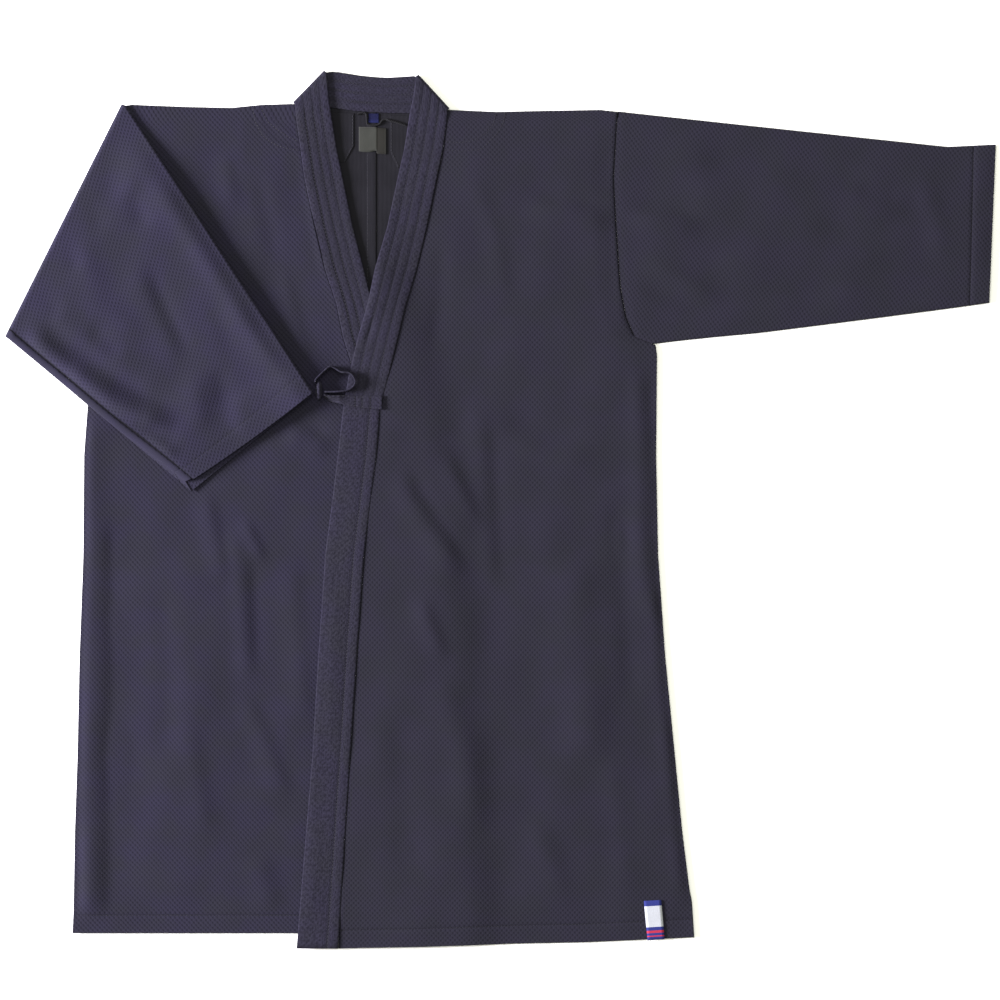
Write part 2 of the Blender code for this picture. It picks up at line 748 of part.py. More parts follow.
def hem_tag(name, material):
    corners = np.array(HEM_TAG)
    rows = []
    for step in np.linspace(0, 1, 4):
        row = []
        for aside in (0.0, 0.5, 1.0):
            upper = corners[0] * (1 - aside) + corners[1] * aside
            lower = corners[3] * (1 - aside) + corners[2] * aside
            across, down = upper * (1 - step) + lower * step
            top = front_height(1, across, min(down, hem_down(1, across))) + JERSEY / 2
            row.append((across, down, top + LAYER_GAP + TAG_CLOTH / 2))
        rows.append(row)
    return cloth(name, rows, TAG_CLOTH, material)


def build():
    clear_scene()
    jersey = finish("navy_jersey", (0.047, 0.045, 0.066), 0.9)
    band = finish("navy_band", (0.046, 0.045, 0.065), 0.88)
    white = finish("white_tag", (0.62, 0.63, 0.66), 0.6)
    blue = finish("blue_tag", (0.03, 0.06, 0.25), 0.6)
    grey = finish("grey_label", (0.06, 0.06, 0.065), 0.5)
    corners = [[(edge_across(side, down), down, JERSEY / 2) for side in (-1, 1)] for down in (0.0, BACK_LENGTH)]
    corners[0] = [(edge_across(side, BACK_LENGTH), 0.0, JERSEY / 2) for side in (-1, 1)]
    pile.lay(corners, JERSEY)
    for side, name in ((-1, "neck_patch_right"), (1, "neck_patch_left")):
        neck_patch(side, name, jersey)
    behind = band_behind()
    pile.lay(behind, COLLAR_CLOTH)
    pile.settle()
    right_run = band_run(-1)
    body_half(-1, "body_right", jersey)
    pile.lay(right_run, COLLAR_CLOTH)
    pile.settle()
    left_run = band_run(1)
    body_half(1, "body_left", jersey)
    pile.lay(left_run, COLLAR_CLOTH)
    hem_tag("hem_tag", white)
    pile.settle(reach=8.0, blur=4.0)
    strap_left("tie_left", band)
    knot("tie_knot", band)
    bow("tie_bow", band)
    strap_right("tie_right", band)
    hanger_loop("hanger_loop", band)
    flat_piece("size_tag", SIZE_TAG, JERSEY + SEAM_GAP, TAG_CLOTH, blue)
    neck_label("neck_label", grey)
    collar = right_run + band_fold(-1) + behind + band_fold(1)[::-1] + left_run[::-1]
    cloth("collar", collar, COLLAR_CLOTH, band)
    left_sleeve("sleeve_left", jersey)
    right_sleeve("sleeve_right", jersey)


build()
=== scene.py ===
import math

import bmesh
import bpy
import numpy as np
from mathutils import Matrix, Vector


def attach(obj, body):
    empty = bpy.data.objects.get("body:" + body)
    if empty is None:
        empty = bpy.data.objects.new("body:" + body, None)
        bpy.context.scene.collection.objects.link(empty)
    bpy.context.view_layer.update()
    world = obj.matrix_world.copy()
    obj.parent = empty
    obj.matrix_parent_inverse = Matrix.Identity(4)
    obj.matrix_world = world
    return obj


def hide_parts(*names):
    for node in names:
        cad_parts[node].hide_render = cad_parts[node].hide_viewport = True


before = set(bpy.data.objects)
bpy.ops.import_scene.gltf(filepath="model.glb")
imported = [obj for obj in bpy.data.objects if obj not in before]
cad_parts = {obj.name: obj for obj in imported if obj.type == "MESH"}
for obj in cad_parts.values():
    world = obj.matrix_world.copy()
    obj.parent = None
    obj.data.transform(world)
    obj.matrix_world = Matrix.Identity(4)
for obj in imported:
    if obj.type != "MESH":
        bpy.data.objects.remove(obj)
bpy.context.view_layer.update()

# A kendo jacket of navy double-knit jersey, laid flat with its right sleeve folded over the front.
# Right and left are the wearer's. Plan places are millimetres: across from the centre back seam, towards
# the wearer's left, and down from the shoulder line. Heights are millimetres above the surface.
MM = 0.001
SHOULDER_TO_CENTRE = 399.3
CENTRE_BACK_X = -125.0


def in_frame(points):
    """Places on the plan and their heights, as points of the part in metres."""
    points = np.asarray(points, float)
    return np.stack([points[..., 0] + CENTRE_BACK_X, SHOULDER_TO_CENTRE - points[..., 1], points[..., 2]], -1) * MM


# Camera: straight above, where a long lens takes in one metre of the surface
CAMERA_HEIGHT = 6.0
SENSOR = 36.0
eye = bpy.data.cameras.new("above")
eye.sensor_width = SENSOR
eye.lens = SENSOR * CAMERA_HEIGHT
eye.clip_end = 60.0
camera = bpy.data.objects.new("above", eye)
camera.location = (-0.0007, 0.0093, CAMERA_HEIGHT)
bpy.context.scene.collection.objects.link(camera)
bpy.context.scene.camera = camera
bpy.context.scene.view_settings.view_transform = "Standard"


# Floor and light: a white sheet under a wide soft light from the wearer's right, and pale light all round
class Level:
    """A number that changes over a surface. Ordinary arithmetic on it adds Math nodes."""

    def __init__(self, finish, socket):
        self.finish = finish
        self.socket = socket

    def maths(self, operation, *values):
        made = self.finish.node("ShaderNodeMath", {"operation": operation}, dict(enumerate(values)))
        return Level(self.finish, made.outputs[0])

    def __add__(self, other):
        return self.maths("ADD", self, other)

    def __sub__(self, other):
        return self.maths("SUBTRACT", self, other)

    def __mul__(self, other):
        return self.maths("MULTIPLY", self, other)

    def __truediv__(self, other):
        return self.maths("DIVIDE", self, other)

    def __rsub__(self, other):
        return self.maths("SUBTRACT", other, self)

    __radd__ = __add__
    __rmul__ = __mul__

    def wave(self, period):
        """1 at every whole period and -1 halfway."""
        return (self * (2 * math.pi / period)).maths_of_one("COSINE")

    def maths_of_one(self, operation):
        return self.maths(operation, self)

    def between(self, low, high):
        """0 below low, 1 above high, and soft between."""
        made = self.finish.node("ShaderNodeMapRange", {"interpolation_type": "SMOOTHSTEP"},
                                {"Value": self, "From Min": low, "From Max": high})
        return Level(self.finish, made.outputs[0])


class Finish:
    """A material as it is made up: its nodes, and its shader's own settings."""

    def __init__(self, name, roughness, sheen=0.0, specular=0.3):
        self.material = bpy.data.materials.new(name)
        self.material.use_nodes = True
        self.tree = self.material.node_tree
        self.shader = self.tree.nodes["Principled BSDF"]
        self.shader.inputs["Roughness"].default_value = roughness
        self.shader.inputs["Sheen Weight"].default_value = sheen
        self.shader.inputs["Sheen Roughness"].default_value = 0.5
        self.shader.inputs["Specular IOR Level"].default_value = specular

    def node(self, kind, settings=None, sockets=None):
        made = self.tree.nodes.new(kind)
        for name, value in (settings or {}).items():
            setattr(made, name, value)
        for name, value in (sockets or {}).items():
            self.join(value, made.inputs[name])
        return made

    def join(self, value, socket):
        if isinstance(value, Level):
            value = value.socket
        if isinstance(value, bpy.types.NodeSocket):
            self.tree.links.new(value, socket)
        else:
            socket.default_value = value

    def mixed(self, level, first, second):
        """One colour where the level is 0 and another where it is 1."""
        first, second = ((*colour, 1.0) if isinstance(colour, tuple) else colour for colour in (first, second))
        made = self.node("ShaderNodeMix", {"data_type": "RGBA"}, {0: level, 6: first, 7: second})
        return made.outputs[2]

    def mottle(self, place, scale, detail=2.0):
        """A soft cloudy level about 0.5."""
        made = self.node("ShaderNodeTexNoise", None, {"Vector": place, "Scale": scale, "Detail": detail})
        return Level(self, made.outputs[0])

    def grain(self, wobble=0.0):
        """Places in the cloth, in metres: along its width and along its length, a little uneven."""
        place = self.node("ShaderNodeAttribute", {"attribute_name": "grain"}).outputs["Vector"]
        if wobble:
            uneven = self.node("ShaderNodeTexNoise", None, {"Vector": place, "Scale": 90.0, "Detail": 1.0})
            centred = self.node("ShaderNodeVectorMath", {"operation": "SUBTRACT"},
                                {0: uneven.outputs["Color"], 1: (0.5, 0.5, 0.5)})
            moved = self.node("ShaderNodeVectorMath", {"operation": "SCALE"},
                              {0: centred.outputs[0], "Scale": wobble})
            place = self.node("ShaderNodeVectorMath", {"operation": "ADD"},
                              {0: place, 1: moved.outputs[0]}).outputs[0]
        return place

    def split(self, place):
        parts = self.node("ShaderNodeSeparateXYZ", None, {0: place}).outputs
        return Level(self, parts[0]), Level(self, parts[1])

    def groove_shade_and_smoothing(self):
        """Painted shade in the grooves of seams: 1 in the groove of a seam, 0 on open cloth, and -1 where the cloth is
        pulled smooth.
        """
        place = self.node("ShaderNodeAttribute", {"attribute_name": "grain"}).outputs["Vector"]
        return Level(self, self.node("ShaderNodeSeparateXYZ", None, {0: place}).outputs[2])

    def relief(self, level, distance, strength=1.0):
        bumped = self.node("ShaderNodeBump", None,
                           {"Height": level, "Distance": distance, "Strength": strength})
        self.join(bumped.outputs[0], self.shader.inputs["Normal"])

    def colour(self, value):
        self.join((*value, 1.0) if isinstance(value, tuple) else value, self.shader.inputs["Base Color"])


FLOOR_SIDE = 8.0
FLOOR_DROP = 0.2 * MM
floor_shape = bmesh.new()
bmesh.ops.create_grid(floor_shape, x_segments=1, y_segments=1, size=FLOOR_SIDE / 2)
bmesh.ops.translate(floor_shape, verts=floor_shape.verts, vec=(0.0, 0.0, -FLOOR_DROP))
floor_mesh = bpy.data.meshes.new("white_sheet")
floor_shape.to_mesh(floor_mesh)
floor_shape.free()
white_sheet = Finish("white_sheet", 0.9)
sheet_place = white_sheet.node("ShaderNodeTexCoord").outputs["Object"]
white_sheet.colour(white_sheet.mixed(white_sheet.mottle(sheet_place, 6.0), (0.9, 0.9, 0.9), (0.94, 0.94, 0.94)))
floor_mesh.materials.append(white_sheet.material)
floor = bpy.data.objects.new("white_sheet", floor_mesh)
bpy.context.scene.collection.objects.link(floor)

SOFT_LIGHTS = {
    # name: place, side in metres, watts, colour
    "window_light": ((-4.7, 0.35, 1.75), 1.5, 1300.0, (0.955, 0.93, 1.0)),
    "top_light": ((-0.4, 1.2, 5.2), 3.0, 205.0, (1.0, 1.0, 0.90)),
}
for name, (place, side, watts, colour) in SOFT_LIGHTS.items():
    lamp = bpy.data.lights.new(name, "AREA")
    lamp.size = side
    lamp.energy = watts
    lamp.color = colour
    light = bpy.data.objects.new(name, lamp)
    light.location = place
    light.rotation_euler = (Vector((0.0, 0.0, 0.0)) - Vector(place)).to_track_quat("-Z", "Y").to_euler()
    bpy.context.scene.collection.objects.link(light)
room = bpy.context.scene.world or bpy.data.worlds.new("room")
bpy.context.scene.world = room
room.use_nodes = True
room.node_tree.nodes["Background"].inputs["Color"].default_value = (1.0, 1.0, 0.86, 1.0)
room.node_tree.nodes["Background"].inputs["Strength"].default_value = 0.57

# Layers: what has been laid down so far, on a fine grid, so that each piece of cloth lies on the ones
# under it. The outline tables are the pattern's edges: the body, the band, the shoulder and the hem.
JERSEY = 1.4
SEAM_GAP = 0.3
PATCH_GAP = 0.1
NECK_GAP = -0.8
LAYER_GAP = 0.5
SHOULDER_AIR = 1.8
BACK_LENGTH = 820.0
BODY_EDGE = np.array([
    # down, right across, left across
    (-6, -242.0, 242.0),
    (68, -237.8, 237.8),
    (116, -240.3, 240.3),
    (178, -244.6, 244.6),
    (208, -250.3, 250.3),
    (227, -258.7, 258.7),
    (235, -279.7, 279.7),
    (245, -284.0, 281.2),
    (345, -291.4, 280.3),
    (445, -292.2, 282.3),
    (545, -295.9, 289.3),
    (645, -298.0, 299.0),
    (720, -300.6, 306.3),
    (800, -302.0, 316.3),
    (838, -303.7, 318.8),
])
COLLAR = np.array([
    # down, right seam, right free edge, left seam, left free edge
    (-40, -86.0, -51.7, 77.0, 44.5),
    (0, -80.5, -45.5, 72.4, 35.1),
    (40, -74.7, -39.0, 66.9, 28.8),
    (68, -71.0, -33.2, 60.9, 22.3),
    (116, -60.9, -23.4, 51.0, 12.1),
    (158, -50.9, -12.5, 41.1, 0.1),
    (193, -39.1, -3.9, 30.3, -7.1),
    (227, -32.3, 5.0, 22.1, -17.2),
    (266, -20.0, 18.3, 12.6, -26.5),
    (300, -10.0, 28.0, 3.8, -32.3),
    (345, -2.0, 37.0, 0.5, -37.4),
    (388, 5.0, 43.0, -5.0, -42.6),
    (445, 12.2, 50.2, -12.1, -50.1),
    (545, 19.0, 57.0, -19.1, -56.9),
    (645, 25.8, 63.8, -25.8, -62.8),
    (838, 38.0, 77.5, -37.9, -78.7),
])
SHOULDER = np.array([
    # across, down
    (-242, -5.0),
    (-190, -3.0),
    (-145, -2.0),
    (-115, -5.0),
    (-84, -6.0),
    (74, 0.0),
    (120, 2.0),
    (165, 1.0),
    (224, 0.0),
    (242, 2.0),
])
NECK = np.array([
    # across, seam down, top edge down
    (-82, -6.0, -40.0),
    (-45, -2.5, -37.5),
    (-19, 1.0, -34.0),
    (0, 2.3, -32.5),
    (14, 3.0, -32.0),
    (35, 3.3, -33.0),
    (72, 0.5, -35.0),
])
RIGHT_HEM = 823.0
LEFT_HEM = np.array([
    # across, down
    (-79, 838.5),
    (-38, 838.0),
    (45, 836.5),
    (135, 833.5),
    (210, 832.0),
    (255, 830.0),
    (319, 827.0),
])


def smooth(value):
    value = np.clip(value, 0.0, 1.0)
    return value * value * (3.0 - 2.0 * value)


def edge_across(side, down):
    return np.interp(down, BODY_EDGE[:, 0], BODY_EDGE[:, 1 if side < 0 else 2])


def seam_across(side, down):
    """The front's edge, a seam gap short of the collar band."""
    return np.interp(down, COLLAR[:, 0], COLLAR[:, 1 if side < 0 else 3]) + side * SEAM_GAP


def shoulder_down(across):
    return np.interp(across, SHOULDER[:, 0], SHOULDER[:, 1])


def hem_down(side, across):
    if side < 0:
        return np.full(np.shape(across), RIGHT_HEM)
    return np.interp(across, LEFT_HEM[:, 0], LEFT_HEM[:, 1])


class Layers:
    """The top of what has been laid down so far."""

    CELL = 4.0
    FIRST = np.array([-392.0, -60.0])
    SHAPE = (262, 232)

    def __init__(self):
        self.top = np.zeros(self.SHAPE)
        self.bridged = self.top

    def lay(self, grid, thickness):
        """Adds a wall whose middle points are the grid."""
        grid = np.asarray(grid, float)
        first, across = grid[:-1, :-1], grid[:-1, 1:] - grid[:-1, :-1]
        down, both = grid[1:, :-1] - grid[:-1, :-1], grid[1:, 1:] - grid[1:, :-1] - across
        longest = max(np.abs(across[..., :2]).max(), np.abs(down[..., :2]).max())
        fractions = np.linspace(0, 1, math.ceil(longest / self.CELL) + 2)
        for u in fractions:
            for v in fractions:
                points = (first + u * across + v * down + u * v * both).reshape(-1, 3)
                cells = np.round((points[:, :2] - self.FIRST) / self.CELL).astype(int)
                np.maximum.at(self.top, (cells[:, 0], cells[:, 1]), points[:, 2] + thickness / 2)

    def settle(self, reach=20.0, blur=8.0):
        """The height that cloth takes where it bridges the steps, up to this reach past each one."""
        cells = int(reach / self.CELL)
        wide = self.top.copy()
        for i in range(-cells, cells + 1):
            for j in range(-cells, cells + 1):
                if i * i + j * j <= cells * cells:
                    wide = np.maximum(wide, np.roll(self.top, (i, j), (0, 1)))
        for _ in range(int(blur / self.CELL)):
            for axis in (0, 1):
                wide = (np.roll(wide, 1, axis) + wide + np.roll(wide, -1, axis)) / 3.0
        self.bridged = wide

    def at(self, across, down):
        place_i = (np.asarray(across, float) - self.FIRST[0]) / self.CELL
        place_j = (np.asarray(down, float) - self.FIRST[1]) / self.CELL
        i, j = np.floor(place_i).astype(int), np.floor(place_j).astype(int)
        u, v = place_i - i, place_j - j
        top = self.bridged
        return ((1 - u) * (1 - v) * top[i, j] + u * (1 - v) * top[i + 1, j]
                + (1 - u) * v * top[i, j + 1] + u * v * top[i + 1, j + 1])


layers = Layers()
back_corners = [[(edge_across(side, BACK_LENGTH), down, JERSEY / 2) for side in (-1, 1)]
                for down in (0.0, BACK_LENGTH)]
layers.lay(back_corners, JERSEY)

# Neck patches: plain jersey sewn inside the shoulders, one on each side of the back neck. They lie on
# the inside of the back, and their edges show beside the label.
PATCH_CLOTH = 0.7
PATCHES = {
    # side: outline on the plan, as across and down
    -1: ((-21.7, 3.5), (-21.7, 36), (-30.7, 53), (-70, 46), (-98, 37), (-115, 22), (-121, 6), (-84, -1)),
    1: ((14.5, 5.5), (14.5, 42), (22, 58), (64, 50), (92, 43), (112, 28), (118, 9), (76, 6)),
}
NAVY_DARK = (0.0050, 0.0044, 0.0088)
NAVY_LIGHT = (0.0195, 0.0168, 0.0370)
NAVY_GREY = (0.0180, 0.0168, 0.0290)


def plain_knit(name, light, dark):
    """The reverse of the jersey: smooth, with fine upright wales."""
    finish = Finish(name, 0.92, sheen=0.01, specular=0.06)
    place = finish.grain(0.0006)
    width, length = finish.split(place)
    wales = width.wave(0.0013) * 0.5 + 0.5
    clouds = finish.mottle(place, 45.0, 3.0)
    level = (wales * 0.25 + clouds * 0.9 + length.wave(0.0017) * 0.06).between(0.1, 1.0)
    face = finish.mixed(level, dark, light)
    # Seam grooves get painted shade: the colour darkens towards a fifth of the dark thread.
    finish.colour(finish.mixed(finish.groove_shade_and_smoothing().between(0.0, 1.0), face, tuple(0.2 * value for value in dark)))
    finish.relief(wales, 0.00012)
    return finish.material


inside_knit = plain_knit("inside_knit", (0.0096, 0.0092, 0.0124), (0.0068, 0.0066, 0.0087))


def finish_piece(piece, nodes):
    """Sets a made piece on the jacket, in place of its solids."""
    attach(piece, "root")
    if nodes:
        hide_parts(*nodes)


def flat_piece(name, outline, low, thickness, material, crown=0.0):
    """A flat piece cut to an outline, with softly rounded edges."""
    shape = bmesh.new()
    grain = shape.verts.layers.float_vector.new("grain")
    corners = [shape.verts.new(in_frame((across, down, low))) for across, down in outline]
    shape.faces.new(corners)
    bmesh.ops.recalc_face_normals(shape, faces=shape.faces)
    if sum(face.normal.z for face in shape.faces) < 0:
        bmesh.ops.reverse_faces(shape, faces=shape.faces)
    raised = bmesh.ops.extrude_face_region(shape, geom=list(shape.faces))
    moved = [thing for thing in raised["geom"] if isinstance(thing, bmesh.types.BMVert)]
    bmesh.ops.translate(shape, verts=moved, vec=(0.0, 0.0, thickness * MM))
    bmesh.ops.recalc_face_normals(shape, faces=shape.faces)
    upper = [edge for edge in shape.edges if all(vertex in moved for vertex in edge.verts)]
    bmesh.ops.bevel(shape, geom=upper, offset=0.6 * thickness * MM, offset_type="OFFSET", segments=2,
                    profile=0.5, affect="EDGES", material=-1)
    for vertex in shape.verts:
        vertex[grain] = (vertex.co.x, vertex.co.y, 0.0)
    mesh = bpy.data.meshes.new(name)
    shape.to_mesh(mesh)
    shape.free()
    mesh.materials.append(material)
    piece = bpy.data.objects.new(name, mesh)
    bpy.context.scene.collection.objects.link(piece)
    return piece


for side, name in ((-1, "right"), (1, "left")):
    outline = PATCHES[side]
    patch = flat_piece(f"{name}_neck_patch", outline, JERSEY + PATCH_GAP, PATCH_CLOTH, inside_knit)
    finish_piece(patch, [f"neck_patch_{name}"])
    corners = np.array(outline)
    left, top = corners.min(axis=0)
    right, bottom = corners.max(axis=0)
    middle = JERSEY + PATCH_GAP + PATCH_CLOTH / 2
    layers.lay([[(left, top, middle), (right, top, middle)], [(left, bottom, middle), (right, bottom, middle)]],
               PATCH_CLOTH)

# Collar: one long band of finer cloth, four layers thick, from hem to hem round the back neck. Three rows
# of stitching run along it above the tie, and one below. It is sewn to the fronts and to the back neck.
COLLAR_CLOTH = 3.0
BAND_WIDTH = 37.5
BAND_ROWS = (9.5, 19.0, 28.5)
TIE_DOWN = 286.0
COLLAR_FOLDS = {
    # side: seam end and free-edge end of the fold where the band turns to the back
    -1: ((-82.6, -7.6), (-51.7, -39.4)),
    1: ((73.8, -1.6), (42.9, -35.2)),
}
FOLD_LAG = 32.5
LAG_REACH = 100.0
BAND_PLACES = np.array([0, 0.7, 2.2, 4.7, 7.2, 8.6, 9.5, 10.4, 11.8, 14.2, 16.7, 18.1, 19.0, 19.9, 21.3, 23.7,
                        26.2, 27.6, 28.5, 29.4, 30.8, 33.0, 35.2, 36.7, 37.5]) / BAND_WIDTH
RUN_DOWNS = np.arange(12.0, 838.0, 3.6)
SHOULDER_TURNS = np.radians((22.5, 45, 67.5, 90, 112.5, 135, 157.5))


def band_swell(place, down):
    """The padded channels between the rows of stitching, and the dips at the rows."""
    from_seam = place * BAND_WIDTH
    above = 1 - smooth((down - TIE_DOWN + 6) / 14.0)
    edges = np.array([0.0, *BAND_ROWS, BAND_WIDTH])
    channel = np.clip(np.searchsorted(edges, from_seam, side="right") - 1, 0, 3)
    inside = (from_seam - edges[channel]) / (edges[channel + 1] - edges[channel])
    narrow = 0.45 * (1 - np.abs(2 * inside - 1) ** 3) - 0.1
    wide_start = BAND_ROWS[0]
    low_inside = np.where(from_seam < wide_start, from_seam / wide_start,
                          (from_seam - wide_start) / (BAND_WIDTH - wide_start))
    wide = 0.55 * (1 - np.abs(2 * low_inside - 1) ** 5) - 0.15
    return narrow * above + wide * (1 - above)


def band_section(side, seam_down):
    """The ends of a line across the band: at its seam, and at its free edge a little higher up."""
    first = COLLAR_FOLDS[side][0][1]
    lag = FOLD_LAG * np.maximum(0.0, 1 - (seam_down - first) / LAG_REACH) ** 2
    seam = np.interp(seam_down, COLLAR[:, 0], COLLAR[:, 1 if side < 0 else 3])
    free = np.interp(seam_down - lag, COLLAR[:, 0], COLLAR[:, 2 if side < 0 else 4])
    return np.array([seam, seam_down]), np.array([free, seam_down - lag])


BAND_CREASES = [
    # width to the left or below, width to the right or above, height, route as across and down
    (3.0, 2.2, -0.9, ((-1.7, 205), (-4.7, 218), (-9.7, 236))),
    (5.0, 13.0, 1.2, ((7, 136), (3, 170), (-4, 198), (-12, 228))),
    (7.0, 5.0, -0.5, ((-48, 20), (-40, 60), (-34, 96))),
    (6.0, 9.0, 0.5, ((-40, 470), (-44, 560), (-48, 640))),
    (9.0, 6.0, 0.5, ((-58, 700), (-60, 760), (-66, 820))),
    (6.0, 9.0, 0.4, ((44, 60), (34, 110), (22, 160))),
]


def crease_height(creases, across, down):
    """What a piece's creases add: ridges above 0 and troughs below, dying out at both ends."""
    total = np.zeros(np.shape(across))
    for left_width, right_width, height, route in creases:
        route = np.array(route, float)
        lengths = np.linalg.norm(np.diff(route, axis=0), axis=1)
        starts = np.concatenate([[0.0], np.cumsum(lengths)])
        nearest = np.full(np.shape(across), 1e9)
        aside, walked = np.zeros(np.shape(across)), np.zeros(np.shape(across))
        for start, end, length, before in zip(route[:-1], route[1:], lengths, starts):
            run = (end - start) / length
            forward = np.clip((across - start[0]) * run[0] + (down - start[1]) * run[1], 0, length)
            off_across = across - start[0] - forward * run[0]
            off_down = down - start[1] - forward * run[1]
            distance = np.hypot(off_across, off_down)
            closer = distance < nearest
            aside = np.where(closer, off_across * run[1] - off_down * run[0], aside)
            walked = np.where(closer, before + forward, walked)
            nearest = np.where(closer, distance, nearest)
        fade = min(0.35 * starts[-1], 34.0)
        ends = smooth(walked / fade) * smooth((starts[-1] - walked) / fade)
        width = np.where(aside > 0, right_width, left_width)
        total += height * ends * np.exp(-(nearest / width) ** 2)
    return total


def band_run(side):
    """The band up one front, from the hem to just below the fold at the shoulder."""
    bottom = RIGHT_HEM if side < 0 else LEFT_HEM[1, 1]
    rows = []
    for seam_down in [bottom] + [down for down in RUN_DOWNS[::-1] if down < bottom - 2]:
        seam, free = band_section(side, seam_down)
        plan = seam + (free - seam) * BAND_PLACES[:, None]
        low = layers.at(plan[:, 0], plan[:, 1]) + LAYER_GAP
        turned = COLLAR_CLOTH + LAYER_GAP
        low = np.maximum(low, turned + (low - turned) * smooth((plan[:, 1] + 40) / 90.0))
        swell = band_swell(BAND_PLACES, seam_down) + crease_height(BAND_CREASES, plan[:, 0], plan[:, 1])
        rows.append(np.column_stack([plan, low + COLLAR_CLOTH / 2 + swell]))
    return rows


def band_fold(side):
    """The soft crease where the band turns to the back, from the front run (0) to the back (180)."""
    seam, free = (np.array(end) for end in COLLAR_FOLDS[side])
    direction = (free - seam) / np.linalg.norm(free - seam)
    outward = np.array([side * abs(direction[1]), -abs(direction[0])])
    radius = (COLLAR_CLOTH + LAYER_GAP) / 2
    rows = []
    for angle in (0.0, *SHOULDER_TURNS, math.pi):
        aside = outward * (radius * math.sin(angle) - radius - COLLAR_CLOTH / 2)
        height = COLLAR_CLOTH / 2 + radius * (1 + math.cos(angle))
        plan = seam + (free - seam) * BAND_PLACES[:, None] + aside
        swell = band_swell(BAND_PLACES, 0.0) * abs(math.cos(angle))
        rows.append(np.column_stack([plan, height + swell]))
    return rows


def band_behind():
    """The band along the back neck, flat on the surface."""
    rows = []
    for across in np.linspace(-52, 46, 28):
        seam = np.interp(across, NECK[:, 0], NECK[:, 1])
        top = np.interp(across, NECK[:, 0], NECK[:, 2])
        lean = 9.0 * (across / 50.0)
        rows.append(np.column_stack([across - lean * BAND_PLACES, seam + (top - seam) * BAND_PLACES,
                                     COLLAR_CLOTH / 2 + 0.4 * band_swell(BAND_PLACES, 0.0)]))
    return rows


behind = band_behind()
layers.lay(behind, COLLAR_CLOTH)
layers.settle()
right_run = band_run(-1)

# Body: each half is one length of jersey, the front and the back, folded over the shoulder. The knit has
# small pits in a diamond lattice outside, and is plain inside. The halves meet in the centre back seam.
HEM_DEPTH = 18.0
ABOVE_HEM = np.array([0, 0.8, 2.5, 6, 10, 14, 16.6, 17.4, 18, 18.6, 19.4, 22, 26, 30, 34, 38])
FRONT_DOWNS = np.arange(780.0, 11.0, -3.4)
BACK_DOWNS = np.concatenate([np.arange(0.0, 310.0, 5.0), [345, 445, 545, 645, 720, 790, BACK_LENGTH]])
ACROSS_STEPS = np.concatenate([[0, 0.003, 0.008, 0.016, 0.026, 0.038], np.linspace(0.05, 0.985, 82), [0.995, 1]])
CENTRE_PLACES = np.array([60, 50, 40, 30, 24, 18, 14, 11, 9.2, 8.5, 8, 7.5, 6.8, 5, 3, 1.2, 0.4, -0.4])
RIGHT_FRONT_CREASES = [
    # width to the left or below, width to the right or above, height, route as across and down
    (12, 8, 1.5, ((-173, 372), (-163, 420), (-150, 482))),
    (10, 12, 1.4, ((-144, 408), (-133, 490), (-128, 582))),
    (6, 8, -0.7, ((-123, 440), (-121, 500), (-118, 570))),
    (8, 5, 1.3, ((-134, 404), (-121, 432), (-110, 456))),
    (13, 9, 1.2, ((-137, 576), (-114, 625), (-100, 662), (-84, 696))),
    (13, 9, 1.9, ((-96, 322), (-68, 330), (-40, 340))),
    (6, 8, -1.0, ((-92, 304), (-66, 314), (-44, 328))),
    (7, 13, 1.9, ((-285, 300), (-284, 430), (-286, 560), (-288, 700), (-289, 818))),
    (9, 46, -1.5, ((-262, 400), (-261, 560), (-264, 700), (-264, 818))),
    (8, 34, 1.3, ((-288, 700), (-286, 760), (-286, 818))),
    (48, 44, 1.9, ((-198, 440), (-186, 560), (-188, 700), (-196, 800))),
    (16, 13, 1.6, ((-122, 738), (-112, 770), (-103, 808))),
    (12, 12, -0.7, ((-214, 470), (-206, 560), (-210, 660))),
    (12, 10, 0.8, ((-190, 600), (-180, 660), (-168, 730))),
    (14, 10, 0.9, ((-84, 440), (-80, 520), (-70, 620))),
    (10, 9, 0.9, ((-152, 34), (-147, 70), (-142, 104))),
    (9, 9, -0.7, ((-120, 52), (-110, 100), (-98, 158))),
    (6, 5, 0.9, ((-66, 56), (-58, 110), (-49, 172))),
    (10, 8, 0.8, ((-96, 150), (-84, 200), (-68, 262))),
    (12, 14, -0.7, ((-262, 706), (-180, 710), (-80, 712))),
]
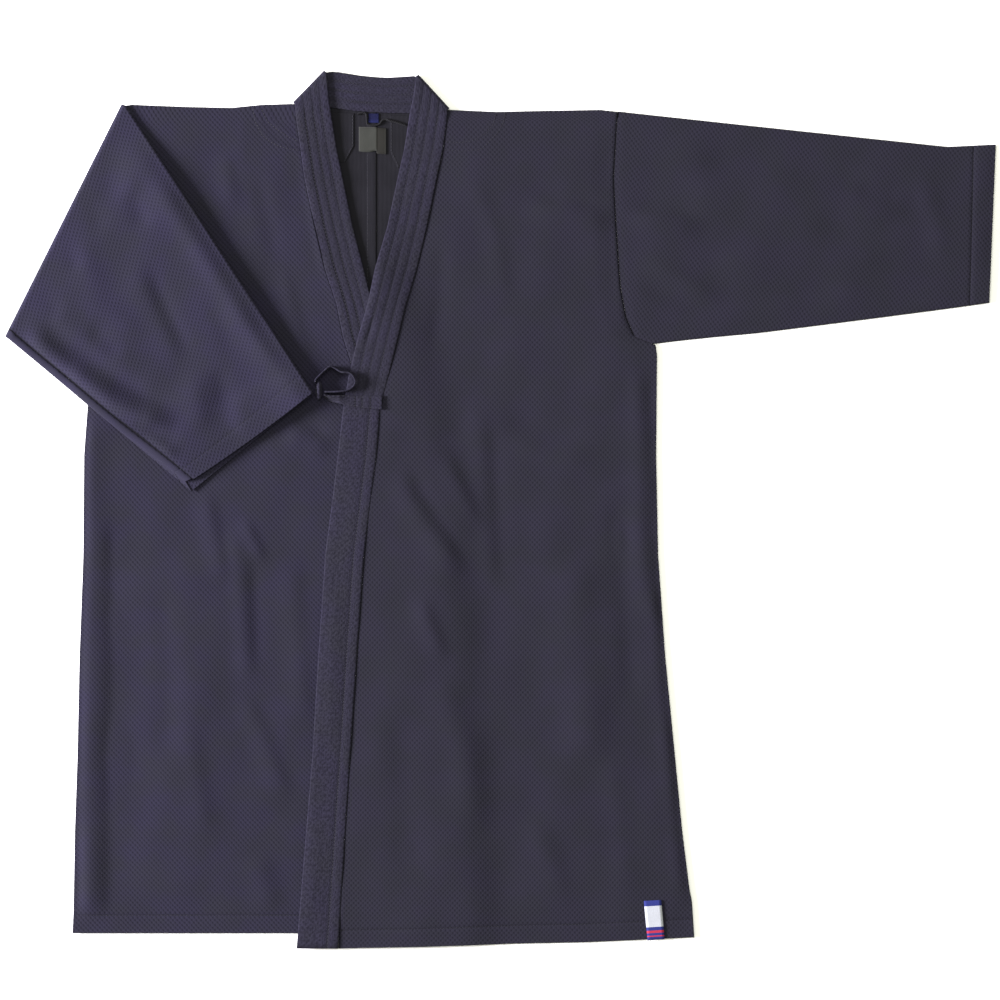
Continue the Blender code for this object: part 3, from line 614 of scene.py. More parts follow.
LEFT_FRONT_CREASES = [
    # width to the left or below, width to the right or above, height, route as across and down
    (14, 11, 1.6, ((20, 352), (30, 382), (50, 416), (88, 470))),
    (7, 9, -0.7, ((34, 350), (46, 384), (66, 412), (98, 458))),
    (12, 8, 1.4, ((64, 338), (84, 378), (106, 426))),
    (12, 12, 0.7, ((98, 282), (106, 350), (112, 420), (116, 488))),
    (8, 9, -0.6, ((116, 300), (121, 392), (126, 480))),
    (12, 8, 1.5, ((42, 482), (52, 510), (70, 556))),
    (13, 12, 1.4, ((140, 98), (190, 103), (244, 116))),
    (7, 9, -1.0, ((150, 86), (200, 90), (240, 98))),
    (28, 26, 2.3, ((196, 440), (200, 510), (208, 580), (214, 660))),
    (12, 12, -1.0, ((238, 380), (246, 430), (250, 500), (258, 600))),
    (10, 9, 1.1, ((262, 250), (266, 330), (266, 420), (276, 520))),
    (8, 8, 1.0, ((276, 470), (282, 560), (292, 660), (306, 800))),
    (9, 9, -0.9, ((4, 322), (44, 330), (94, 331))),
    (10, 12, -0.8, ((120, 306), (170, 320), (226, 328))),
    (10, 10, 0.9, ((124, 330), (172, 344), (222, 352))),
    (12, 10, -0.7, ((180, 366), (220, 372), (264, 366))),
    (16, 14, 0.9, ((60, 560), (90, 640), (104, 730))),
    (14, 16, -0.7, ((20, 600), (30, 680), (32, 770))),
    (14, 12, 0.9, ((150, 700), (176, 750), (190, 800))),
    (12, 10, 0.7, ((96, 60), (120, 130), (130, 200))),
    (9, 10, -0.7, ((66, 120), (64, 190), (58, 250))),
    (12, 12, 0.6, ((232, 640), (244, 710), (250, 790))),
]
BACK_CREASES = [
    # the same on the back, where it rests: small, and upwards alone
    (16, 12, 0.35, ((-200, 330), (-190, 430), (-196, 560))),
    (12, 16, 0.35, ((60, 360), (84, 470), (90, 600))),
    (14, 14, 0.3, ((180, 90), (212, 100), (240, 112))),
]


def ripple(across, down):
    """The slight unevenness of cloth smoothed out by hand."""
    waves = ((0.062, 0.021, 0.4, 0.22), (-0.017, 0.047, 1.3, 0.24), (0.083, -0.051, 2.2, 0.13),
             (0.031, 0.102, 4.0, 0.11), (0.127, 0.043, 5.1, 0.08))
    total = np.zeros(np.shape(across))
    for along_across, along_down, start, height in waves:
        total = total + height * np.sin(along_across * across + along_down * down + start)
    return total


def front_height(side, across, down):
    """Middle of the front's wall: on what lies under it, with air, creases and a hem line."""
    from_side = np.abs(across - edge_across(side, down))
    from_hem = hem_down(side, across) - down
    inside = smooth(from_side / 25.0) * smooth(from_hem / 40.0)
    near = smooth(from_side / 7.0) * smooth(from_hem / 14.0)
    creases = crease_height(RIGHT_FRONT_CREASES if side < 0 else LEFT_FRONT_CREASES, across, down)
    lift = 0.5 + 0.9 * inside + np.maximum(-1.1 * near, near * (creases + ripple(across, down)))
    height = layers.at(across, down) + lift
    at_shoulder = JERSEY + SHOULDER_AIR
    from_shoulder = down - shoulder_down(across)
    height = np.maximum(height, at_shoulder + (height - at_shoulder) * smooth(from_shoulder / 60.0))
    if side < 0:
        from_band = np.abs(across - seam_across(side, down))
        near_band = np.exp(-(from_band / 5.0) ** 2) * smooth((300.0 - down) / 40.0) * smooth(down / 60.0)
        height = height + 0.3 * near_band
    stitch_dip = 0.55 * np.exp(-((from_hem - HEM_DEPTH) / 0.9) ** 2)
    seam_dip = 0.5 * np.exp(-(from_side / 1.8) ** 2) * (down < 236)
    return height + JERSEY / 2 - stitch_dip - seam_dip


def front_rows(side):
    """The front's points from the hem up to the shoulder."""
    rows = []
    level_hem = hem_down(side, side * 150.0)
    for above in ABOVE_HEM:
        level = level_hem - above
        across = edge_across(side, level) + (seam_across(side, level) - edge_across(side, level)) * ACROSS_STEPS
        rows.append((across, hem_down(side, across) - above))
    for down in FRONT_DOWNS:
        across = edge_across(side, down) + (seam_across(side, down) - edge_across(side, down)) * ACROSS_STEPS
        rows.append((across, np.full(across.shape, down)))
    return [np.column_stack([across, down, front_height(side, across, down)]) for across, down in rows]


def neck_across(side):
    """Where the shoulder ends, tucked under the band."""
    return seam_across(side, -6 if side < 0 else 0.5) - side * 1.8


def shoulder_rows(side):
    """The soft roll over the shoulder, from the front to the back."""
    radius = (SHOULDER_AIR + JERSEY) / 2
    neck = neck_across(side)
    across = edge_across(side, -6) + (neck - edge_across(side, -6)) * ACROSS_STEPS
    top = shoulder_down(across) + JERSEY / 2 + radius
    return [np.column_stack([across, top - radius * math.sin(angle),
                             np.full(across.shape, JERSEY / 2 + radius * (1 + math.cos(angle)))])
            for angle in (0.0, *SHOULDER_TURNS)]


def back_rows(side):
    """The back's points from the neck down to the hem, flat on the surface."""
    radius = (SHOULDER_AIR + JERSEY) / 2
    rows = []
    neck = neck_across(side)
    for down in (-6.0, *BACK_DOWNS):
        main = edge_across(side, down) + (neck - edge_across(side, down)) * ACROSS_STEPS
        main_down = np.maximum(down, shoulder_down(main) + JERSEY / 2 + radius)
        inner = side * CENTRE_PLACES
        inner_down = np.maximum(down, np.interp(inner, NECK[:, 0], NECK[:, 1]) + NECK_GAP)
        across, place = np.concatenate([main, inner]), np.concatenate([main_down, inner_down])
        allowance = np.zeros(across.shape)
        if side < 0:
            from_centre = np.abs(inner)
            allowance[len(main):] = 0.6 * (1 - smooth((from_centre - 5.0) / 4.5))
        uneven = crease_height(BACK_CREASES, across, place)
        rows.append(np.column_stack([across, place, JERSEY / 2 + np.maximum(0, allowance) + uneven]))
    return rows


def jersey(name, steep_thread, depth, rows=0.0, light=NAVY_LIGHT, grey=NAVY_GREY, dark=NAVY_DARK):
    """Double-knit jersey: dark pits at the crossings of a diamond lattice, with raised threads between."""
    finish = Finish(name, 0.88, sheen=0.02, specular=0.07)
    place = finish.grain(0.0011)
    width, length = finish.split(place)
    rising = (width / 0.0047 + length / 0.0050).wave(1.0)
    falling = (width / 0.0047 - length / 0.0050).wave(1.0)
    pits = rising * steep_thread + falling * (1 - steep_thread) + length.wave(0.0025) * rows
    # Seam grooves get painted shade, darkening the colour towards a quarter of the dark thread; where the cloth is
    # pulled smooth, the pits fade.
    groove_shade_and_smoothing = finish.groove_shade_and_smoothing()
    pit = pits.between(-0.35, 0.95) * (1.0 - (0.0 - groove_shade_and_smoothing).between(0.1, 0.9))
    fibres = finish.mottle(place, 900.0, 1.0)
    clouds = finish.mottle(place, 28.0, 3.0).between(0.3, 0.7)
    thread = finish.mixed(clouds, light, grey)
    thread = finish.mixed(fibres * 0.35, thread, dark)
    face = finish.mixed(pit * depth, thread, dark)
    finish.colour(finish.mixed(groove_shade_and_smoothing.between(0.0, 1.0), face, tuple(0.25 * value for value in dark)))
    finish.relief(1.0 - pit, 0.00043 * depth, 0.9)
    return finish.material


def cloth(name, grid, grain, thickness, outer, inner, looks_up, keep=None, groove_shade_and_smoothing=0.0, hem_row=None):
    """Cloth from its middle points, row by row, thickened to both sides. Its outside faces the normals.

    looks_up gives the rows and columns of a part whose outside looks up. The seam value that Finish reads from each
    point is painted shade in a seam's groove above 0, and cloth pulled smooth below 0.
    From hem_row on, a hem is turned in, and the cloth's outside shows on both faces.
    """
    rows, columns = grid.shape[:2]
    shape = bmesh.new()
    in_cloth = shape.verts.layers.float_vector.new("grain")
    bmesh.ops.create_grid(shape, x_segments=columns - 1, y_segments=rows - 1, size=1.0)
    # The third value of each place is painted shade in seam grooves, or below 0 cloth pulled smooth.
    places = np.column_stack([grain.reshape(-1, 2) * MM, np.broadcast_to(groove_shade_and_smoothing, (rows, columns)).ravel()])
    for vertex, point, place in zip(shape.verts, in_frame(grid.reshape(-1, 3)), places):
        vertex.co = point
        vertex[in_cloth] = place
    shape.normal_update()
    up = 0.0
    cut = []
    for face in shape.faces:
        row, column = divmod(face.index, columns - 1)
        if looks_up[0][0] <= row < looks_up[0][1] and looks_up[1][0] <= column < looks_up[1][1]:
            up += face.normal.z
        if hem_row is not None and row >= hem_row:
            face.material_index = 2
        if keep and not keep(row, column):
            cut.append(face)
    if cut:
        bmesh.ops.delete(shape, geom=cut, context="FACES")
    if up < 0:
        bmesh.ops.reverse_faces(shape, faces=shape.faces)
    bmesh.ops.remove_doubles(shape, verts=shape.verts, dist=0.01 * MM)
    mesh = bpy.data.meshes.new(name)
    shape.to_mesh(mesh)
    shape.free()
    for material in (outer, inner, outer, outer):
        mesh.materials.append(material)
    mesh.shade_smooth()
    piece = bpy.data.objects.new(name, mesh)
    bpy.context.scene.collection.objects.link(piece)
    wall = piece.modifiers.new("Wall", "SOLIDIFY")
    wall.thickness = thickness * MM
    wall.offset = 0.0
    wall.use_quality_normals = True
    wall.material_offset = 1
    return piece


# The fronts' copies of one jersey: the left front's is darker and greyer, painted shade for the side farther from the
# light.
outside_knits = {
    -1: jersey("right_outside_knit", 0.64, 0.55, 0.0, (0.0157, 0.0140, 0.0280), (0.0150, 0.0143, 0.0228)),
    1: jersey("left_outside_knit_painted_shade", 0.46, 0.5, 0.0, (0.0146, 0.0132, 0.0232), (0.0137, 0.0133, 0.0200)),
}


def body_half(side, word):
    """Front, shoulder roll and back in one wall. Beside the neck only the back goes on to the centre."""
    front = front_rows(side)
    layers.lay(front, JERSEY)
    extra = len(CENTRE_PLACES)
    upper = front + shoulder_rows(side)
    filled = [np.vstack([row] + [row[-1:]] * extra) for row in upper]
    back = back_rows(side)
    grid = np.array(filled + back)
    grain = np.abs(grid[..., :2]) * 1.0
    grain[..., 0] = side * grid[..., 0]
    grain[:, :, 1] = grid[..., 1]
    grain[len(front):, :, 1] *= -1
    first_back = len(filled)
    last_main = len(ACROSS_STEPS) - 1
    across, down = grid[..., 0], grid[..., 1]
    is_front = np.arange(len(grid))[:, None] < first_back
    from_band = np.abs(across - seam_across(side, down))
    from_armhole = np.abs(across - edge_across(side, down))
    # Painted shade in the grooves of the seams: heavy at the left front's band seam, whose edge faces away from the
    # light, and faint at the right one, which faces it; lighter along the back seam and the hem stitching, and heavy at
    # the left armhole.
    band_seam_shade = 0.8 if side > 0 else 0.15
    groove_shade_and_smoothing = np.where(is_front, band_seam_shade * np.exp(-(from_band / 1.1) ** 2), 0.35 * np.exp(-(across / 1.6) ** 2))
    groove_shade_and_smoothing = np.maximum(groove_shade_and_smoothing, 0.9 * is_front * np.exp(-(from_armhole / 1.3) ** 2) * (down < 233) * (side > 0))
    from_hem = hem_down(side, across) - down
    groove_shade_and_smoothing = np.maximum(groove_shade_and_smoothing, 0.35 * is_front * np.exp(-((from_hem - HEM_DEPTH) / 0.7) ** 2))
    piece = cloth(f"{word}_body_cloth", grid, grain, JERSEY, outside_knits[side], inside_knit,
                  ((0, len(front) - 1), (0, last_main)),
                  keep=lambda row, column: column < last_main or row >= first_back, groove_shade_and_smoothing=groove_shade_and_smoothing)
    finish_piece(piece, [f"body_{word}"])
    return grid


def between_rows(line, pitch):
    """Points a stitch apart along a line of points."""
    line = np.asarray(line, float)
    walked = np.concatenate([[0.0], np.cumsum(np.linalg.norm(np.diff(line, axis=0), axis=1))])
    count = max(2, int(walked[-1] / pitch))
    places = np.linspace(0, walked[-1], count + 1)
    return np.column_stack([np.interp(places, walked, line[:, axis]) for axis in range(3)])


def sew(name, lines, material, pitch=3.2, thread=0.75):
    """Rows of lockstitch: small rounded threads, end to end, half sunk in the cloth."""
    one = bmesh.new()
    bmesh.ops.create_uvsphere(one, u_segments=6, v_segments=4, radius=1.0)
    stitch = bpy.data.meshes.new(name + "_stitch")
    one.to_mesh(stitch)
    one.free()
    shape = bmesh.new()
    for line in lines:
        points = in_frame(between_rows(line, pitch))
        for start, end in zip(points[:-1], points[1:]):
            run = Vector(end - start)
            turn = run.to_track_quat("X", "Z").to_matrix().to_4x4()
            size = Matrix.Diagonal((run.length * 0.4, thread / 2 * MM, thread / 2.4 * MM, 1.0))
            placed = stitch.copy()
            placed.transform(Matrix.Translation(Vector((start + end) / 2)) @ turn @ size)
            shape.from_mesh(placed)
            bpy.data.meshes.remove(placed)
    bpy.data.meshes.remove(stitch)
    mesh = bpy.data.meshes.new(name)
    shape.to_mesh(mesh)
    shape.free()
    mesh.materials.append(material)
    mesh.shade_smooth()
    piece = bpy.data.objects.new(name, mesh)
    bpy.context.scene.collection.objects.link(piece)
    finish_piece(piece, [])
    return piece


def thread_finish():
    """Spun navy sewing thread, a little glossier than the cloth."""
    finish = Finish("navy_thread", 0.6, sheen=0.05, specular=0.15)
    place = finish.node("ShaderNodeTexCoord").outputs["Object"]
    twist = finish.mottle(place, 1500.0, 1.0)
    finish.colour(finish.mixed(twist, (0.0060, 0.0057, 0.0090), (0.0130, 0.0123, 0.0190)))
    finish.relief(twist, 0.0001)
    return finish.material


navy_thread = thread_finish()
right_body = body_half(-1, "right")
layers.lay(right_run, COLLAR_CLOTH)
layers.settle(reach=36.0, blur=64.0)
left_run = band_run(1)
left_body = body_half(1, "left")
layers.lay(left_run, COLLAR_CLOTH)

ON_TOP = np.array([0.0, 0.0, JERSEY / 2 - 0.1])
hem_row = int(np.argmin(np.abs(ABOVE_HEM - HEM_DEPTH)))
main_columns = len(ACROSS_STEPS)
sew("hem_stitches", [grid[hem_row, :main_columns] + ON_TOP for grid in (right_body, left_body)],
    navy_thread)
PATCH_STITCHES = {
    # side: the two rows that hold the neck patch, seen on the front, as across and down
    -1: (((-122.7, -1), (-120, 12), (-113.7, 25), (-106, 32), (-95.7, 37), (-86, 39.5), (-76.5, 41)),
         ((-113.7, 0), (-108, 12), (-95.7, 22), (-86, 28), (-77.5, 32))),
    1: (((129.3, 3), (128, 12), (124.3, 20), (114, 32), (104.3, 40), (86, 41.5), (69, 40)),
        ((120, 4), (118, 14), (110, 24), (98, 31), (84, 33), (70, 32))),
}
arcs = []
for side, rows in PATCH_STITCHES.items():
    for row in rows:
        plan = np.array(row, float)
        height = front_height(side, plan[:, 0], np.maximum(plan[:, 1], shoulder_down(plan[:, 0]) + 3))
        arcs.append(np.column_stack([plan, height]) + ON_TOP)
patch_top = JERSEY + PATCH_GAP + PATCH_CLOTH + 0.1
for edge in (((-23.0, 5), (-23.0, 36.4), (-31.6, 52)), ((15.8, 12), (15.8, 41.6), (23.2, 57))):
    arcs.append([(across, down, patch_top) for across, down in edge])
sew("neck_patch_stitches", arcs, navy_thread)
back_seam = [(-8.0, down, JERSEY + 0.3) for down in (44.0, 120.0, 190.0)]
sew("back_seam_stitches", [back_seam], navy_thread)

# The collar's own mesh, now that both runs have their places, and its rows of stitching.


def band_finish():
    """Closely woven cloth, mottled, with a fine twill."""
    finish = Finish("band_cloth", 0.86, sheen=0.02, specular=0.07)
    place = finish.grain(0.0016)
    width, length = finish.split(place)
    rising = (width / 0.0047 + length / 0.0050).wave(1.0)
    falling = (width / 0.0047 - length / 0.0050).wave(1.0)
    pit = (rising * 0.5 + falling * 0.5).between(-0.2, 0.9)
    slubs = finish.mottle(place, 330.0, 3.0).between(0.38, 0.66)
    clouds = finish.mottle(place, 30.0, 2.0).between(0.3, 0.7)
    thread = finish.mixed(clouds, (0.0156, 0.0139, 0.0268), (0.0150, 0.0142, 0.0222))
    thread = finish.mixed(slubs * 0.55, thread, NAVY_DARK)
    face = finish.mixed(pit * 0.32, thread, NAVY_DARK)
    # Seam grooves and stitch rows get painted shade: the colour darkens towards a quarter of the dark thread.
    painted_groove_shade = finish.groove_shade_and_smoothing().between(0.0, 1.0)
    finish.colour(finish.mixed(painted_groove_shade, face, tuple(0.25 * value for value in NAVY_DARK)))
    finish.relief((1.0 - pit) * 0.5 + slubs * 0.5, 0.0003, 0.8)
    return finish.material


band_cloth = band_finish()
band = np.array(right_run + band_fold(-1) + behind + band_fold(1)[::-1] + left_run[::-1])
steps = np.linalg.norm(np.diff(band[:, 0, :2], axis=0), axis=1)
band_grain = np.zeros(band.shape[:2] + (2,))
band_grain[..., 0] = BAND_PLACES * BAND_WIDTH
band_grain[..., 1] = np.concatenate([[0.0], np.cumsum(steps)])[:, None]
# Painted shade in the grooves of the band's stitch rows: heaviest along the first row and on the right run, lighter on
# the rows above the tie, and lighter still round the back neck.
from_rows = np.abs(BAND_PLACES * BAND_WIDTH - np.array(BAND_ROWS)[:, None])
stitch_row_shade = np.exp(-(from_rows / 1.15) ** 2)
above_tie = smooth((TIE_DOWN - band[:, :1, 1]) / 6.0)
on_right = np.arange(len(band))[:, None] < len(right_run)
band_groove_shade = np.where(on_right, 1.0, 0.45) * stitch_row_shade[0]
band_groove_shade = np.maximum(band_groove_shade, np.where(on_right, 0.8, 0.34) * above_tie * stitch_row_shade[1])
band_groove_shade = np.maximum(band_groove_shade, 0.38 * above_tie * stitch_row_shade[2])
band_groove_shade = band_groove_shade * np.where(band[:, :1, 1] < 0.0, 0.35, 1.0)
collar_piece = cloth("collar_band", band, band_grain, COLLAR_CLOTH, band_cloth, band_cloth,
                     ((4, 100), (0, len(BAND_PLACES) - 1)), groove_shade_and_smoothing=band_groove_shade)
finish_piece(collar_piece, ["collar"])
band_top = np.array([0.0, 0.0, COLLAR_CLOTH / 2 - 0.15])
band_lines = []
for place in BAND_ROWS:
    column = int(np.argmin(np.abs(BAND_PLACES * BAND_WIDTH - place)))
    for run in (right_run, left_run):
        line = np.array(run)[:, column] + band_top
        band_lines.append(line if place == BAND_ROWS[0] else line[line[:, 1] < TIE_DOWN])
    band_lines.append(np.array(behind)[:, column] + band_top)
sew("collar_stitches", band_lines, navy_thread, pitch=3.4, thread=0.9)

# Hem tag: a small woven tag folded over the left front's hem, white with plain blue and red bands.
TAG_CLOTH = 0.8
HEM_TAG = np.array([(268.0, 790.6), (285.3, 789.6), (288.8, 828.8), (271.7, 829.9)])


def hem_tag_finish():
    finish = Finish("hem_tag_weave", 0.7, sheen=0.02, specular=0.08)
    place = finish.grain()
    width, length = finish.split(place)
    ribs = (length.wave(0.0007) * 0.5 + 0.5) * 0.6 + (width.wave(0.0007) * 0.5 + 0.5) * 0.4
    white = finish.mixed(ribs * 0.5, (0.34, 0.35, 0.39), (0.24, 0.25, 0.28))
    blue = finish.mixed(ribs * 0.5, (0.018, 0.023, 0.130), (0.012, 0.015, 0.085))
    red = finish.mixed(ribs * 0.5, (0.30, 0.020, 0.045), (0.20, 0.013, 0.030))
    face = finish.mixed(length.maths("LESS_THAN", length, 0.0055), white, blue)
    face = finish.mixed(length.maths("GREATER_THAN", length, 0.0265), face, blue)
    for start, end in ((0.0300, 0.0325), (0.0350, 0.0362)):
        stripe = length.maths("GREATER_THAN", length, start) * length.maths("LESS_THAN", length, end)
        face = finish.mixed(stripe, face, red)
    finish.colour(face)
    finish.relief(ribs, 0.00012)
    return finish.material


tag_rows, tag_grain = [], []
for step in np.linspace(0, 1, 12):
    aside = np.linspace(0, 1, 7)[:, None]
    upper = HEM_TAG[0] * (1 - aside) + HEM_TAG[1] * aside
    lower = HEM_TAG[3] * (1 - aside) + HEM_TAG[2] * aside
    plan = upper * (1 - step) + lower * step
    top = front_height(1, plan[:, 0], np.minimum(plan[:, 1], hem_down(1, plan[:, 0]))) + JERSEY / 2
    tag_rows.append(np.column_stack([plan, np.maximum(top, top.mean()) + LAYER_GAP + TAG_CLOTH / 2]))
    tag_grain.append(np.column_stack([aside[:, 0] * 17.3, np.full(7, step * 39.3)]))
hem_tag_cloth = hem_tag_finish()
tag = cloth("hem_tag_cloth", np.array(tag_rows), np.array(tag_grain), TAG_CLOTH, hem_tag_cloth, hem_tag_cloth,
            ((0, 11), (0, 6)))
finish_piece(tag, ["hem_tag"])
layers.settle(reach=8.0, blur=4.0)

# Ties: the left front's strap is sewn to the band in a stitched box and turns on its edge at the knot.
# Its mate comes from under the sleeve. They are tied in one loop, which stands on its edge.
STRAP = np.array([
    # across, upper edge down, lower edge down, rise of the upper edge as the strap turns on its edge
    (6.5, 286.0, 299.8, 0.0),
    (-8.0, 286.0, 298.8, 0.0),
    (-20.0, 286.0, 297.3, 0.3),
    (-30.0, 286.0, 295.2, 1.5),
    (-38.0, 286.0, 293.0, 4.5),
    (-45.0, 286.0, 290.8, 7.5),
    (-51.3, 284.6, 287.4, 9.5),
])
HIDDEN_STRAP = np.array([
    # across, middle down, width
    (-125.0, 304.0, 13.7),
    (-108.0, 299.0, 13.7),
    (-92.0, 294.0, 13.0),
    (-76.0, 288.0, 11.0),
    (-64.5, 283.5, 8.0),
])
BOW = np.array([
    # across, down
    (-60.2, 272.4),
    (-59.4, 269.4),
    (-55.6, 265.4),
    (-50.6, 260.6),
    (-45.4, 256.6),
    (-40.4, 258.6),
    (-34.2, 262.2),
    (-25.8, 263.2),
    (-21.2, 268.3),
    (-20.2, 273.0),
    (-23.5, 278.0),
    (-28.5, 280.6),
    (-35.0, 281.6),
    (-43.0, 282.0),
    (-50.6, 282.0),
])
BOW_HEIGHT = 10.5
BOW_CLOTH = 1.6
KNOT_PLACE = (-56.4, 281.0)
KNOT_SIZE = (7.0, 18.0, 11.0)


def eased(table, count):
    """Rows between the rows of a table, along a smooth curve through them."""
    table = np.asarray(table, float)
    last = len(table) - 1
    rows = []
    for place in np.linspace(0, last, count):
        index = min(int(place), last - 1)
        before, start = table[max(index - 1, 0)], table[index]
        end, after = table[index + 1], table[min(index + 2, last)]
        step = place - index
        rows.append(0.5 * (2 * start + (end - before) * step
                           + (2 * before - 5 * start + 4 * end - after) * step ** 2
                           + (3 * start - before - 3 * end + after) * step ** 3))
    return np.array(rows)


def ribbon(name, rows, thickness, nodes, looks_up=((0, 0), (0, 0)), groove_shade_and_smoothing=0.0):
    grid = np.array(rows)
    steps = np.linalg.norm(np.diff(grid[:, 0], axis=0), axis=1)
    wide = np.linalg.norm(np.diff(grid[0], axis=0), axis=1)
    grain = np.zeros(grid.shape[:2] + (2,))
    grain[..., 0] = np.concatenate([[0.0], np.cumsum(wide)])
    grain[..., 1] = np.concatenate([[0.0], np.cumsum(steps)])[:, None]
    piece = cloth(name, grid, grain, thickness, band_cloth, band_cloth, looks_up, groove_shade_and_smoothing=groove_shade_and_smoothing)
    finish_piece(piece, nodes)
    return piece


strap_rows = []
STRAP_ROWS = np.array([-20.2, -13.7, -4.9])
for across, upper, lower, rise in eased(STRAP, 60):
    steps = np.linspace(0, 1, 11)
    rest = layers.at(across, lower) + LAYER_GAP + JERSEY / 2
    hollow = -0.5 * np.sin(np.pi * steps) * smooth(-across / 30.0)
    sewn = -0.35 * np.exp(-((across - STRAP_ROWS) / 1.2) ** 2).sum()
    strap_rows.append(np.column_stack([np.full(11, across), upper + (lower - upper) * steps,
                                       rest + rise * (1 - steps) + hollow + sewn]))
# Painted shade in the grooves of the strap's stitch rows.
strap_groove_shade = np.exp(-((np.array(strap_rows)[:, :, 0, None] - STRAP_ROWS) / 0.8) ** 2).sum(axis=-1)
left_strap = ribbon("left_tie_strap", strap_rows, JERSEY, ["tie_left"], ((0, 16), (0, 10)),
                    groove_shade_and_smoothing=np.minimum(1.0, 0.8 * strap_groove_shade))
strap_grid = np.array(strap_rows)
strap_top = np.array([0.0, 0.0, JERSEY / 2 - 0.1])
box = [strap_grid[int(np.argmin(np.abs(strap_grid[:, 0, 0] - across)))] + strap_top
       for across in (*STRAP_ROWS, 4.5)]
box += [strap_grid[1:28, column] + strap_top for column in (1, 9)]
sew("strap_stitches", box, navy_thread, pitch=2.6, thread=0.7)

hidden_rows = []
for across, down, width in eased(HIDDEN_STRAP, 20):
    places = down + width * np.linspace(-0.5, 0.5, 7)
    rest = layers.at(np.full(7, across), places) + LAYER_GAP + JERSEY / 2
    hidden_rows.append(np.column_stack([np.full(7, across), places, rest]))
layers.lay(hidden_rows, JERSEY)
right_strap = ribbon("right_tie_strap", hidden_rows, JERSEY, ["tie_right"], ((0, 18), (0, 6)))

bow_rows = []
for across, down in eased(BOW, 64):
    rest = float(layers.at(across, down)) + LAYER_GAP
    height = BOW_HEIGHT * (1 - 0.4 * smooth((across + 45) / 20))
    bow_rows.append([(across, down, rest + height * step) for step in np.linspace(0, 1, 7)])
bow_loop = ribbon("bow_loop", bow_rows, BOW_CLOTH, ["tie_bow"])
bow_path = in_frame(np.array(bow_rows)[:, 3])
knot_low = float(layers.at(*KNOT_PLACE)) + LAYER_GAP


def knot_shape():
    """The knot: a lump of the straps, with the turn that binds it wrapped round it."""
    shape = bmesh.new()
    grain = shape.verts.layers.float_vector.new("grain")
    bmesh.ops.create_uvsphere(shape, u_segments=28, v_segments=18, radius=0.5)
    for vertex in shape.verts:
        x, y, z = vertex.co
        pinch = 1 - 0.22 * math.exp(-((y - 0.08) / 0.1) ** 2) + 0.05 * math.sin(16 * z + 5 * y)
        vertex.co = Vector((x * pinch * KNOT_SIZE[0], y * KNOT_SIZE[1], z * pinch * KNOT_SIZE[2])) * MM
    wrap = bmesh.ops.create_cone(shape, cap_ends=False, segments=28, radius1=0.5, radius2=0.5, depth=1.0,
                                 matrix=Matrix.Rotation(math.pi / 2, 4, "X"))
    around = wrap["verts"]
    bmesh.ops.scale(shape, verts=around, vec=(KNOT_SIZE[0] * 0.84 * MM, 4.2 * MM, KNOT_SIZE[2] * 0.86 * MM))
    bmesh.ops.rotate(shape, verts=around, cent=(0, 0, 0), matrix=Matrix.Rotation(math.radians(12), 3, "Z"))
    bmesh.ops.translate(shape, verts=around, vec=(0.0, 1.3 * MM, 0.0))
    faces = list({face for vertex in around for face in vertex.link_faces})
    bmesh.ops.solidify(shape, geom=faces, thickness=0.7 * MM)
    middle = Vector(in_frame((*KNOT_PLACE, knot_low + KNOT_SIZE[2] / 2)))
    bmesh.ops.translate(shape, verts=shape.verts, vec=middle)
    bmesh.ops.recalc_face_normals(shape, faces=shape.faces)
    for vertex in shape.verts:
        vertex[grain] = (vertex.co.x, vertex.co.y + vertex.co.z, 0.0)
    return shape


knot_mesh = bpy.data.meshes.new("tie_knot_cloth")
knot = knot_shape()
knot.to_mesh(knot_mesh)
knot.free()
knot_mesh.materials.append(band_cloth)
knot_mesh.shade_smooth()
knot_piece = bpy.data.objects.new("tie_knot_cloth", knot_mesh)
bpy.context.scene.collection.objects.link(knot_piece)
finish_piece(knot_piece, ["tie_knot"])

# Small things at the back neck: a hanger loop of round cord, a blank blue tape, and a folded grey label.
HANGER_ROUTE = (
    # across, down, lies on the patch
    (-18.5, 4.4, 0), (-13.0, 2.9, 0), (-9.6, 4.2, 0), (-8.9, 9.0, 0), (-8.2, 14.2, 0), (-2.5, 15.6, 0),
    (3.6, 14.4, 0), (6.6, 10.6, 0), (10.4, 9.6, 0), (13.4, 10.6, 1), (19.5, 12.2, 1), (29.5, 15.4, 1),
)
HANGER_CORD = 2.0
SIZE_TAG = ((-7.2, 3.6), (3.3, 3.6), (3.3, 13.0), (-7.2, 13.0))
LABEL = np.array([
    # across, top down, bottom down, lift
    (-16.7, 17.0, 41.4, 0.0),
    (-12.0, 17.0, 42.2, 0.3),
    (-6.0, 17.2, 42.2, 0.5),
    (0.4, 17.4, 41.0, 0.9),
    (1.6, 17.8, 43.6, 0.6),
    (6.0, 18.2, 44.2, 0.4),
    (10.3, 18.5, 44.5, 0.0),
])


def cord_finish():
    finish = Finish("hanger_cord", 0.8, sheen=0.03, specular=0.06)
    place = finish.node("ShaderNodeTexCoord").outputs["Object"]
    across, down = finish.split(place)
    plait = (across / 0.0016 + down / 0.0021).wave(1.0) * 0.5 + 0.5
    finish.colour(finish.mixed(plait, (0.0048, 0.0047, 0.0060), (0.0100, 0.0098, 0.0118)))
    finish.relief(plait, 0.00025)
    return finish.material


